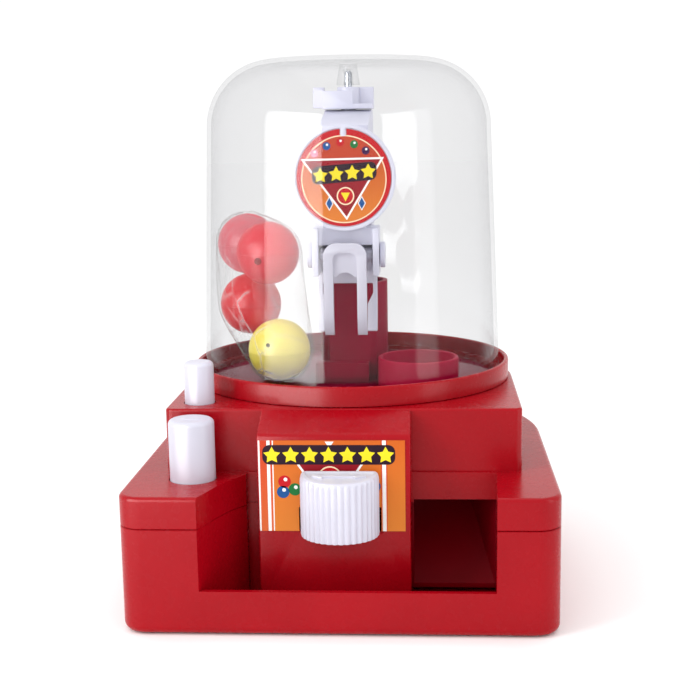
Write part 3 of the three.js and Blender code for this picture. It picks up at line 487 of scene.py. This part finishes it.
def make_cover(red):
    low, high = COVER_FOOT, SHOULDER
    band = stack("base_cover_piece", [(d_outline(BASE, 0.35), low), (d_outline(BASE), low + 0.35)]
                 + fillet_rings(BASE, 1.6, high, True))
    upper = stack("upper", [(d_outline(BOX), high - 3)] + fillet_rings(BOX, 1.0, BOX_TOP, True))
    band_room = prism("band_room", d_outline(BASE, CASE_WALL), low - 1, high - 2)
    combine(band_room, [prism("island", recess_outline(2, PAST_FRONT), low - 2, high + 2)])
    recess = prism("recess", recess_outline(0, PAST_FRONT), low - 2, high + 2)
    combine(band, [band_room, recess])
    wall = (-38.7, 60.3, -56, -53.8, low, high)
    combine(band, [upper, block("front_wall", *wall)], "UNION")
    combine(band, [prism("box_room", d_outline(BOX, CASE_WALL), low - 1, BOX_TOP - 2)])
    combine(band, [block("wall_again", *wall), block("shelf", -66.5, -47, -54.5, -36, 56.5, 58.5)], "UNION")
    combine(band, [round_bar("boss", x, y, 4, low, high - 1, 24) for x, y in SCREWS], "UNION")
    combine(band, [
        round_bar("deck_hole", 0, AXIS_Y, 60.9, BOX_TOP - 4, BOX_TOP + 2, 128),
        block("stem_door", -29, 24.4, -57, -53, low - 2, 43),
        block("prize_door", 26.9, 58.3, -59, -53, low - 2, 41),
        round_bar("drop_hole", *DROP_KEY, 9.0, 44, 56, 64),
        round_bar("release_hole", *RELEASE_KEY, 6.2, 72, 79, 64),
        round_bar("stem_hole", *RELEASE_KEY, 3.5, 55, 60, 32),
        *[round_bar("pilot", x, y, 1.55, low - 1, 48.6, 16) for x, y in SCREWS],
    ])
    place(level(soften(band, 0.6, 3)), "base", red, "red_plastic", "base_cover")


SLOT_LEFT, SLOT_RIGHT, SLOT_TOP = -15.5, 16.0, 42.4  # the slot that the knob slides in


def make_panel(red):
    left, right, front, back = -30.8, 26.0, -72.0, -56.3
    side = [(back, 76.0), (front + 2.6, 70.7), (front + 0.8, 69.9), (front, 68.4), (front, 3.3), (back, 3.3)]
    room = [(back + 1, 74), (front + 3, 68.6), (front + 2, 67), (front + 2, 1), (back + 1, 1)]

    def along_x(name, profile, x0, x1):
        points = [(x, y, z) for x in (x0, x1) for y, z in profile]
        n = len(profile)
        faces = [tuple(range(n)), tuple(reversed(range(n, 2 * n)))]
        faces += [(i, i + n, (i + 1) % n + n, (i + 1) % n) for i in range(n)]
        obj = from_faces(name, points, faces)
        face_out(obj)
        return obj

    panel = along_x("control_panel_piece", side, left, right)
    combine(panel, [along_x("room", room, left + 2, right - 2),
                    block("slot", SLOT_LEFT, SLOT_RIGHT, front - 1, front + 3, 33, SLOT_TOP)])
    place(soften(panel, 0.8, 4), "base", red, "red_plastic", "control_panel")


# ---- knob and buttons ----
def make_knob(white):
    half, back, front, ribs, corner, top = 14.5, -73.2, -88.7, 18, 2.4, 55.4
    centre = back - 3.2
    reach = centre - front

    def rib_outline(depth, shrink=0.0):
        points = []
        steps = ribs * 8
        for i in range(steps + 1):
            a = math.pi + math.pi * i / steps
            groove = 0.5 - 0.5 * math.cos(2 * math.pi * ribs * i / steps)
            swell = 1 - (depth * (1 - groove ** 0.6) + shrink) / half
            points.append((half * swell * math.cos(a), centre + reach * swell * math.sin(a)))
        points += arc(half - corner, back - corner, corner - shrink, 0, 90, 6)
        points += arc(corner - half, back - corner, corner - shrink, 90, 180, 6)
        return points

    def dish_outline(shrink):
        w, rear = half - shrink, back - shrink
        depth = rear - front - shrink
        turns = [math.pi + math.pi * i / 48 for i in range(49)]
        return [(w * math.cos(a), rear + depth * math.sin(a)) for a in turns]

    rings = [(rib_outline(0.6, 0.7), 33), (rib_outline(0.6, 0.2), 33.25), (rib_outline(0.65), 33.8),
             (rib_outline(0.65), 53.3), (rib_outline(0.45, 0.1), 54.2), (rib_outline(0.15, 0.35), 54.9),
             (rib_outline(0.0, 0.8), 55.3), (rib_outline(0, 1.3), top)]
    knob = stack("knob_piece", rings)
    dish_levels = ((3.6, 54.85), (2.8, 54.9), (2.2, 55.05), (1.8, 55.3), (1.6, 56.5))
    combine(knob, [stack("dish", [(dish_outline(shrink), z) for shrink, z in dish_levels])])
    y, tip, neck, barb, shaft = back - 5.6, 10, 6, 2.1, 0.75
    arrow = [(-tip, y), (-neck, y - barb), (-neck, y - shaft), (neck, y - shaft), (neck, y - barb), (tip, y),
             (neck, y + barb), (neck, y + shaft), (-neck, y + shaft), (-neck, y + barb)]
    combine(knob, [soften(prism("mark", arrow, 54.2, top), 0.2, 2)], "UNION")
    combine(knob, [block("socket", -3.3, 3.3, back - 5.3, back + 1, 34.2, 40.3)])
    slope_from, slope_rise = 50.0, 1.5  # the top rises towards the back
    for vertex in knob.data.vertices:
        above = max(vertex.co.z / MM - slope_from, 0) / (top - slope_from)
        rear = (vertex.co.y / MM - front) / (back - front)
        vertex.co.z += slope_rise * MM * above * rear
    place(smooth(knob, 32), "slider", white, "white_plastic", "knob")


def make_button(name, body, node, axis, radius, top, flange, stem, foot, white, bar):
    """A push button turned in one piece: cap, flange under the casing, stem and a pointed foot."""
    x, y = axis
    low, high = flange
    edge = [(radius - 1.8 + 1.8 * math.cos(a), top - 1.8 + 1.8 * math.sin(a)) for a in
            [math.pi / 2 * i / 8 for i in range(9)]]
    profile = [(0, foot), (0.9, foot), (stem - 0.4, foot + 1.6), (stem, foot + 2.2), (stem, low),
               (radius + 1.4, low), (radius + 1.6, low + 0.2), (radius + 1.6, high - 0.3),
               (radius + 1.3, high), (radius, high), *edge, (radius - 3.2, top - 0.12), (0, top - 0.2)]
    cap = turned(name, profile, x, y, 96, closed=False)
    if bar:
        raised = block("bar", x - 3.8, x + 3.8, y - 0.55, y + 0.55, top - 1, top)
        combine(cap, [soften(raised, 0.2, 2)], "UNION")
    place(smooth(cap, 32), body, white, "white_plastic", node)


# ---- deck, collars, dome and column ----
def make_deck(dark):
    profile = [(12, 73.9), (12, 75.7), (12.2, 75.9), (60.3, 75.9), (60.6, 75.7), (60.6, 73.8), (63.5, 73.7),
               (63.5, 71.7), (12, 71.7)]
    deck = turned("deck_piece", profile, 0, AXIS_Y, 128)
    combine(deck, [round_bar("well", CHUTE_X, CHUTE_Y, CHUTE_RADIUS, 70, 78, 96)])
    place(smooth(deck, 38), "base", dark, "dark_red_plastic", "deck")


def make_collars(red, dark):
    ring = [(CHUTE_RADIUS, 76.2), (16.5, 76.2), (16.5, 87.3), (16.35, 87.75), (15.95, 88), (15.45, 88),
            (15.05, 87.8), (CHUTE_RADIUS, 87.4)]
    chute_ring = turned("chute_ring_piece", ring, CHUTE_X, CHUTE_Y, 96)
    place(smooth(chute_ring), "base", dark, "red_plastic", "chute_ring")
    collar = [(61.2, 76.3), (66.5, 76.3), (66.5, 83.0), (66.35, 83.6), (65.9, 83.95), (65.4, 84.0), (65.0, 83.9),
              (64.75, 83.6), (64.6, 83.2), (64.6, 78.0), (61.2, 78.0)]
    dome_ring = turned("dome_ring_piece", collar, 0, AXIS_Y, 160)
    place(smooth(dome_ring), "base", red, "red_plastic", "dome_ring")


def make_dome(clear):
    foot, top, shoulder, wall = 78.3, 208.7, 181.0, 1.8
    foot_radius, shoulder_radius = 62.65, 58.9
    rise = top - shoulder
    flat = shoulder_radius - rise

    def rounding(inset):
        angles = [math.pi / 2 * i / 20 for i in range(21)]
        radius = rise - inset
        return [(flat + radius * math.cos(a), shoulder + radius * math.sin(a)) for a in angles]

    outside = [(foot_radius + 0.9, foot), (foot_radius + 1, foot + 0.3), (foot_radius + 1, foot + 1.5),
               (foot_radius, foot + 2), *rounding(0), (0, top)]
    socket = [(0, 204.5), (2.1, 204.5), (2.2, 198.3), (2.5, 198), (4.6, 198), (4.9, 198.3),
              (3.5, top - wall - 0.8), (4.0, top - wall - 0.2), (4.6, top - wall)]
    inside = [*reversed(rounding(wall)), (foot_radius - wall, foot + 2), (foot_radius - wall, foot)]
    dome = turned("dome_piece", [*outside, *socket, *inside], 0, AXIS_Y, 192, closed=False)
    bridge_rim(dome)
    place(smooth(dome, 50), "cover", clear, "clear_plastic", "dome")


def bridge_rim(obj):
    """Close an open lathe between its first and last rings."""
    bm = bmesh.new()
    bm.from_mesh(obj.data)
    open_edges = [e for e in bm.edges if e.is_boundary]
    bmesh.ops.bridge_loops(bm, edges=open_edges)
    bmesh.ops.recalc_face_normals(bm, faces=bm.faces)
    bm.to_mesh(obj.data)
    bm.free()


def make_column(dark):
    x, top, foot, half_front, reach, radius = 1.2, 117.0, 76.2, 9.8, 13.4, 14.2

    def outline(inset):
        """A round tube with a flat front."""
        return [(x - half_front + inset * 0.5, AXIS_Y - reach + inset),
                (x + half_front - inset * 0.5, AXIS_Y - reach + inset),
                *arc(x, AXIS_Y, radius - inset, -32, 212, 48)]

    tube = prism("column_piece", outline(0), foot, top)
    combine(tube, [block("plinth", -14, 8, AXIS_Y - 19.4, AXIS_Y - 12.9, foot, 84.4)], "UNION")
    combine(tube, [prism("room", outline(1.8), foot - 1, top + 1)])
    place(soften(tube, 0.5, 3), "base", dark, "dark_red_plastic", "column_sleeve")


# ---- printed labels ----
INK_SHINE = 0.12


class Print:
    """Flat coloured shapes in the XZ plane, each a thin closed layer, all in one mesh.

    Each layer starts a hundredth or two of a millimetre in front of those it covers.
    """

    def __init__(self, name):
        self.name = name
        self.points = []
        self.faces = []
        self.paints = []
        self.materials = []

    def layer(self, outline, front, thick, material):
        if material not in self.materials:
            self.materials.append(material)
        paint = self.materials.index(material)
        first = len(self.points)
        n = len(outline)
        area = sum(a[0] * b[1] - b[0] * a[1] for a, b in zip(outline, outline[1:] + outline[:1]))
        outline = outline if area > 0 else outline[::-1]
        self.points += [(x, front, z) for x, z in outline] + [(x, front + thick, z) for x, z in outline]
        faces = [tuple(range(first, first + n)), tuple(reversed(range(first + n, first + 2 * n)))]
        faces += [(first + (i + 1) % n, first + i, first + n + i, first + n + (i + 1) % n) for i in range(n)]
        self.faces += faces
        self.paints += [paint] * len(faces)

    def ring(self, x, z, outer, inner, front, thick, material, sides=72):
        """An annulus, laid as two half rings."""
        for start in (0, 180):
            out = arc(x, z, outer, start, start + 180, sides // 2)
            back = arc(x, z, inner, start + 180, start, sides // 2)
            self.layer(out + back, front, thick, material)

    def line(self, path, width, front, thick, material):
        """A closed path drawn with a stroke of even width, mitred at its corners."""
        n = len(path)
        sides = []
        for offset in (width / 2, -width / 2):
            moved = []
            for i in range(n):
                before, here, after = Vector(path[i - 1]), Vector(path[i]), Vector(path[(i + 1) % n])
                a, b = (here - before).normalized(), (after - here).normalized()
                normal = (Vector((-a.y, a.x)) + Vector((-b.y, b.x))).normalized()
                reach = offset / max(normal.dot(Vector((-a.y, a.x))), 0.3)
                moved.append(tuple(here + normal * reach))
            sides.append(moved)
        for i in range(n):
            j = (i + 1) % n
            self.layer([sides[0][i], sides[0][j], sides[1][j], sides[1][i]], front, thick, material)

    def done(self):
        obj = from_faces(self.name, self.points, self.faces)
        for material in self.materials:
            obj.data.materials.append(material)
        for polygon, paint in zip(obj.data.polygons, self.paints):
            polygon.material_index = paint
        return obj


def pill(x, z, w, h, r):
    r = min(r, w / 2, h / 2)
    return (arc(x + w / 2 - r, z + h / 2 - r, r, 0, 90, 6)
            + arc(x - w / 2 + r, z + h / 2 - r, r, 90, 180, 6)
            + arc(x - w / 2 + r, z - h / 2 + r, r, 180, 270, 6)
            + arc(x + w / 2 - r, z - h / 2 + r, r, 270, 360, 6))


def star(x, z, outer, inner):
    radii = (outer, inner) * 5
    return [(x + r * math.sin(math.pi * i / 5), z + r * math.cos(math.pi * i / 5)) for i, r in enumerate(radii)]


def fading(name, low, high, z0, z1):
    """Ink that runs from one colour to another up the label."""
    material, nodes, links, shader = new_material(name)
    place_node = nodes.new("ShaderNodeTexCoord")
    split = nodes.new("ShaderNodeSeparateXYZ")
    links.new(place_node.outputs["Object"], split.inputs["Vector"])
    height = remap(nodes, links, split.outputs["Z"], (z0 * MM, z1 * MM), (0, 1))
    links.new(colour_ramp(nodes, links, height, linear(low), linear(high)), shader.inputs["Base Color"])
    shader.inputs["Roughness"].default_value = 0.38
    shader.inputs["Specular IOR Level"].default_value = INK_SHINE
    return material


def inks():
    tones = dict(red=(196, 18, 30), deep=(150, 14, 30), cream=(250, 226, 190), white=(250, 250, 248),
                 yellow=(248, 222, 40), dark=(38, 12, 32), rust=(192, 66, 36), pink=(236, 140, 170),
                 blue=(26, 84, 150), green=(28, 116, 56), purple=(66, 18, 76))
    return {key: plastic("ink_" + key, rgb, 0.4, grain=0, drift=0.02, shine=INK_SHINE)
            for key, rgb in tones.items()}


def ball(art, x, z, r, front, ink, ink_light):
    art.layer(arc(x, z, r, 0, 360, 28)[:-1], front, 0.02, ink)
    art.layer(arc(x + r * 0.15, z + r * 0.35, r * 0.3, 0, 360, 16)[:-1], front - 0.02, 0.02, ink_light)


def star_band(art, x, z, count, pitch, slope, front, ink):
    """A dark rounded band that carries a row of yellow stars."""
    half = (count - 1) * pitch / 2
    band = [(px, pz + (px - x) * slope) for px, pz in pill(x, z, 2 * half + 7.0, 7.4, 2.6)]
    art.layer(band, front, 0.02, ink["dark"])
    for i in range(count):
        offset = -half + i * pitch
        art.layer(star(x + offset, z - 0.2 + offset * slope, 3.3, 1.75), front - 0.02, 0.02, ink["yellow"])


def diamond(x, z, w, h):
    return [(x - w / 2, z), (x, z - h / 2), (x + w / 2, z), (x, z + h / 2)]


def make_sign_art(ink):
    z, front = 161.4, AXIS_Y - 36.88
    across, along = 0.936, 0.955  # the round design is drawn in to fit the oval plate
    art = Print("sign_art_piece")
    orange = fading("sign_orange", (226, 128, 44), (190, 70, 28), z - 16, z + 14)
    notch = [(1.4, 17.4), (-1.4, 17.4)]
    rim = arc(0, 0, 19.8, 94.1, 445.9, 96)
    art.layer([(x, z + h) for x, h in rim + notch], front, 0.28, ink["red"])
    art.layer(pill(0, z + 17.9, 2.2, 3.6, 1.1), front - 0.01, 0.02, ink["white"])
    art.layer(arc(0, z - 0.6, 17.4, 0, 360, 72)[:-1], front - 0.02, 0.02, orange)
    art.layer([(x, z - 0.6 + h) for x, h in arc(0, 0, 17.4, 28, 152, 40)], front - 0.03, 0.01, ink["rust"])
    art.ring(0, z - 0.6, 17.9, 17.4, front - 0.04, 0.04, ink["cream"])
    corners = [(-17.2, z + 7.4), (16.2, z + 7.8), (1.0, z - 16.6)]
    art.layer([(x * 0.95, zz * 0.95 + z * 0.05) for x, zz in corners], front - 0.05, 0.01, ink["deep"])
    art.line(corners, 0.8, front - 0.06, 0.03, ink["white"])
    art.layer(arc(0.6, z - 7.4, 3.5, 0, 360, 36)[:-1], front - 0.07, 0.02, ink["red"])
    art.ring(0.6, z - 7.4, 3.7, 3.15, front - 0.08, 0.02, ink["cream"], 40)
    art.layer([(-1.3, z - 6.0), (0.6, z - 9.6), (2.5, z - 6.0)], front - 0.09, 0.02, ink["yellow"])
    for x in (-6.2, 7.4):
        art.layer(diamond(x, z - 10.4, 3.4, 6.0), front - 0.07, 0.02, ink["white"])
        art.layer(diamond(x, z - 10.4, 2.6, 4.8), front - 0.09, 0.02, ink["blue"])
    star_band(art, 0.2, z + 1.9, 4, 6.7, 0.07, front - 0.08, ink)
    dots = ((-12.2, 10.5, "pink"), (-7.0, 13.4, "blue"), (-1.3, 14.9, "red"), (4.5, 14.0, "green"),
            (9.3, 11.4, "purple"))
    for x, rise, key in dots:
        ball(art, x, z + rise - 0.5, 1.65, front - 0.08, ink[key], ink["white"])
    art.points = [(x * across, y, z + (height - z) * along) for x, y, height in art.points]
    place(art.done(), "crane", None, "printed_label", "sign_label")


def make_panel_art(ink):
    left, right, low, high, front = -30.2, 24.0, 33.2, 67.8, -72.33
    art = Print("panel_art_piece")
    orange = fading("panel_orange", (224, 132, 50), (206, 98, 30), low, high)
    band = fading("panel_stripe", (224, 106, 54), (200, 60, 30), low, high)
    art.layer([(left, low), (SLOT_LEFT, low), (SLOT_LEFT, SLOT_TOP), (SLOT_RIGHT, SLOT_TOP), (SLOT_RIGHT, low),
               (right, low), (right, high), (left, high)], front, 0.26, orange)

    stripes = ((left + 0.6, left + 3.2, band), (left, left + 0.6, ink["white"]),
               (left + 3.2, left + 4.4, ink["white"]), (left + 4.4, left + 5.2, band),
               (left + 5.2, left + 5.6, ink["white"]), (right - 8.9, right - 8.4, band),
               (right - 8.4, right - 7.0, ink["white"]), (right - 7.0, right - 6.5, band))
    for x0, x1, material in stripes:
        art.layer([(x0, low), (x1, low), (x1, high), (x0, high)], front - 0.02, 0.02, material)
    fan = [(-20.0, 65.4), (12.6, 65.4), (0.6, 47.8), (-8.0, 47.8)]
    art.layer(fan, front - 0.04, 0.02, ink["deep"])
    art.line(fan, 0.8, front - 0.05, 0.03, ink["white"])
    art.layer([(-5.4, 67.4), (-2.2, 67.4), (-3.8, 64.9)], front - 0.07, 0.02, ink["white"])
    art.layer(arc(-3.7, 53.6, 4.4, 0, 360, 40)[:-1], front - 0.06, 0.02, ink["red"])
    art.ring(-3.7, 53.6, 4.5, 3.95, front - 0.07, 0.02, ink["cream"], 48)
    art.layer([(-5.9, 55.2), (-3.7, 51.0), (-1.5, 55.2)], front - 0.08, 0.02, ink["yellow"])
    star_band(art, -4.1, 62.4, 7, 7.0, 0.0, front - 0.09, ink)
    balls = ((-20.6, 52.2, "red"), (-21.2, 48.2, "blue"), (-16.8, 49.2, "green"), (12.6, 50.4, "blue"),
             (12.0, 46.6, "red"))
    for x, z, key in balls:
        ball(art, x, z, 2.35, front - 0.04, ink[key], ink["white"])
    place(art.done(), "base", None, "printed_label", "panel_label")


# ---- capsules in their bag ----
CAPSULES = {
    "yellow": ((-29.0, -20 + AXIS_Y, 90.4), (255, 238, 84)),
    "red": ((-42.4, -5.3 + AXIS_Y, 107.8), (250, 14, 36)),
    "coral": ((-32.8, -19.6 + AXIS_Y, 130.6), (255, 44, 66)),
    "pink": ((-44.3, 4 + AXIS_Y, 132.4), (255, 116, 130)),
}
CAPSULE_RADIUS, CAPSULE_WALL = 12.8, 1.0


def capsule_half(name, centre, hand, vent):
    """Half a hollow ball, with a lip where the halves meet and a vent at its pole, and maybe one in its side."""
    x, y, z = centre
    pole_vent, steps = 1.2, 14
    first, last = math.asin(pole_vent / CAPSULE_RADIUS), math.pi / 2 - 0.04
    angles = [first + (last - first) * i / steps for i in range(steps + 1)]
    outer = [(CAPSULE_RADIUS * math.sin(a), CAPSULE_RADIUS * math.cos(a)) for a in angles]
    lip = [(CAPSULE_RADIUS + 0.03, 0.4), (CAPSULE_RADIUS + 0.03, 0.1), (CAPSULE_RADIUS, 0)]
    inner_radius = CAPSULE_RADIUS - CAPSULE_WALL
    inner = [(inner_radius * math.sin(a), inner_radius * math.cos(a)) for a in reversed(angles)]
    profile = [(r, z + hand * (h + 0.03)) for r, h in outer + lip + [(inner_radius, 0)] + inner]
    half = turned(name, profile, x, y, 72)
    if vent:
        dx, dz, radius = vent
        hole = round_bar("vent", 0, 0, radius, -4, 4, 24)
        hole.data.transform(Matrix.Rotation(math.pi / 2, 4, "X"))
        hole.data.transform(Matrix.Translation(Vector((x + dx, y - CAPSULE_RADIUS + 1.2, z + dz)) * MM))
        combine(half, [hole])
    return smooth(half, 45)


def make_capsules():
    vents = {"yellow": (-3.2, 3.8, 0.9), "coral": (-2.6, -2.2, 1.5)}
    for key, (centre, rgb) in CAPSULES.items():
        share = 0.05 if key == "yellow" else 0.34
        shell = see_through(plastic("capsule_" + key, rgb, 0.3, grain=0.02, drift=0.05, shine=0.4), rgb, share)
        for label, hand in (("top", 1), ("bottom", -1)):
            vent = vents.get(key)
            cut_here = vent if vent and (vent[1] > 0) == (hand > 0) else None
            half = capsule_half(f"capsule_{key}_{label}_piece", centre, hand, cut_here)
            place(half, "base", shell, key + "_capsule", f"capsule_{key}_{label}")


def make_bag(film):
    """Thin film drawn over the capsules: taut where it spans them, creased between, and open at the top."""
    centres = [Vector(centre) for centre, _ in CAPSULES.values()]
    rows, columns, blend = 90, 128, 1.6
    mouth = math.radians(11)
    points = []
    for row in range(rows + 1):
        polar = mouth + (math.pi - mouth) * row / rows
        for column in range(columns):
            turn = 2 * math.pi * column / columns
            way = Vector((math.sin(polar) * math.cos(turn), math.sin(polar) * math.sin(turn), math.cos(polar)))
            furthest = max(way.dot(c) for c in centres)
            weights = [math.exp((way.dot(c) - furthest) / blend) for c in centres]
            total = sum(weights)
            middle = sum((c * w for c, w in zip(centres, weights)), Vector()) / total
            pleat = 1 - min(abs(noise.noise(way * 4.5 + Vector((3.1, 0, 0)))) * 2.6, 1)
            crinkle = 1 - min(abs(noise.noise(way * 11)) * 2.4, 1)
            reach = CAPSULE_RADIUS + 0.7 + 0.55 * pleat + 0.3 * crinkle
            points.append(middle + way * reach)
    faces = []
    for row in range(rows):
        for column in range(columns):
            a, b = row * columns + column, row * columns + (column + 1) % columns
            faces.append((a, a + columns, b + columns, b))
    bag = from_faces("capsule_bag_piece", points, faces)
    smooth(bag, 60)
    place(bag, "base", film, "bag_film", "capsule_bag")


# ---- springs, screws and the works inside ----
def coil(name, axis, z0, z1, radius, wire, turns, steel, node):
    """A round-wire spring between two heights."""
    x, y = axis
    sides, per_turn = 10, 40
    steps = turns * per_turn
    points = []
    for i in range(steps + 1):
        t = i / steps
        a = t * turns * 2 * math.pi
        height = z0 + wire + (z1 - z0 - 2 * wire) * t
        centre = Vector((x + radius * math.cos(a), y + radius * math.sin(a), height))
        out = Vector((math.cos(a), math.sin(a), 0))
        for k in range(sides):
            b = 2 * math.pi * k / sides
            points.append(centre + out * (wire * math.cos(b)) + Vector((0, 0, wire * math.sin(b))))
    faces = [tuple(range(sides)), tuple(reversed(range(steps * sides, (steps + 1) * sides)))]
    for i in range(steps):
        for k in range(sides):
            a, b = i * sides + k, i * sides + (k + 1) % sides
            faces.append((a, a + sides, b + sides, b))
    spring = from_faces(name, points, faces)
    face_out(spring)
    return place(smooth(spring, 60), "base", steel, "steel", node)


def make_screws(steel):
    profile = [(0, 1.75), (1.6, 1.65), (2.5, 1.85), (2.9, 2.5), (2.9, 4.3), (2.7, 4.6), (1.4, 4.9)]
    z, last, pitch = 6.0, 45, 1.6
    while z < last:
        profile += [(1.15, z), (1.4, z + 0.7), (1.15, z + 1.2)]
        z += pitch
    profile += [(1.0, 46.2), (0, 47.9)]
    for i, (x, y) in enumerate(SCREWS):
        screw = turned(f"base_screw_{i + 1}_piece", profile, x, y, 32, closed=False)
        combine(screw, [block("slot_x", x - 1.6, x + 1.6, y - 0.3, y + 0.3, 1, 3),
                        block("slot_y", x - 0.3, x + 0.3, y - 1.6, y + 1.6, 1, 3)])
        place(smooth(screw, 30), "base", steel, "steel", f"base_screw_{i + 1}")


# ---- everything else ----
def make_all():
    red = plastic("red_gloss", (160, 3, 19), 0.26, grain=0.03, coat=0.03, shine=0.16)
    dark = plastic("wine_gloss", (144, 4, 46), 0.4, grain=0.03, shine=0.05)
    white = plastic("lavender_white", (206, 205, 219), 0.32, grain=0.03)
    crane = plastic("crane_white", (214, 214, 230), 0.36, grain=0.03)
    grey = plastic("grey_matte", (150, 150, 156), 0.5, grain=0.05)
    steel = plastic("bright_steel", (190, 194, 200), 0.26, grain=0.02, metal=1.0, scale=400)
    deep = plastic("deep_red", (126, 2, 18), 0.4, grain=0.03, shine=0.05)
    clear = clear_film("dome_clear", (0.925, 0.925, 0.93), (0.948, 0.948, 0.95), 0.03, 0.014)
    make_tray(red)
    make_cover(red)
    make_panel(red)
    make_knob(white)
    make_button("drop_button_piece", "drop_key", "drop_button", DROP_KEY, radius=8.6, top=74.6,
                flange=(46.6, 49.2), stem=3.5, foot=25.8, white=white, bar=True)
    make_button("release_button_piece", "release_key", "release_button", RELEASE_KEY, radius=5.8, top=92.3,
                flange=(71, 73.6), stem=3, foot=53.5, white=white, bar=False)
    make_deck(plastic("deck_wine", (140, 4, 50), 0.4, grain=0.03, shine=0.0))
    make_collars(red, plastic("ring_wine", (172, 6, 56), 0.4, grain=0.03, shine=0.05))
    make_dome(clear)
    make_column(dark)
    # The bag film's fine white crease lines are painted highlights.
    film = crumple(clear_film("bag_film_clear", (0.9, 0.9, 0.9), (0.995, 0.995, 0.995), 0.12, 0.012,
                              wrinkle=0.9, scale=260), haze=0.05, crease_glint=0.32, scale=62)
    ink = inks()
    make_sign_art(ink)
    make_panel_art(ink)
    make_capsules()
    make_bag(film)
    drop = coil("drop_spring_piece", DROP_KEY, 2.7, 22.2, 4.5, 0.45, 6, steel, "drop_spring")
    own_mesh(drop)
    release = coil("release_spring_piece", RELEASE_KEY, 58.8, 70.7, 5, 0.4, 4, steel, "release_spring")
    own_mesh(release)
    make_screws(steel)
    refined("prize_chute", "base", deep, "dark_red_plastic", 0.6, 3)
    for node in ("gear_frame", "rocker_bracket"):
        refined(node, "base", grey, "grey_plastic", 0.3, 2)
    for node, body in (("drop_lever", "drop_arm"), ("release_rocker", "rocker"),
                       ("release_rod", "release_slide"), ("release_crank", "crank"), ("lift_rod", "claw"),
                       ("lift_collar", "claw"), ("lift_arm", "claw")):
        refined(node, body, grey, "grey_plastic", 0.25, 2)
    refined("jaw_rod", "jaw_push", steel, "steel", 0.2, 2)
    refined("pivot_pin", "crane", steel, "steel", 0.15, 2)
    refined("knob_slider", "slider", white, "white_plastic", 0.15, 2)
    refined("pinion_gear", "crane", white, "white_plastic", 0.1, 1)
    for node in ("crane_hood", "top_bracket", "sign_disc", "crane_mast"):
        refined(node, "crane", crane, "white_plastic", 0.5, 3)
    for node in ("claw_carriage", "jaw_pin", "rear_jaw"):
        refined(node, "claw", crane, "white_plastic", 0.45, 3)
    refined("front_jaw", "jaw", white, "white_plastic", 0.5, 3)


make_camera()
make_studio()
make_all()
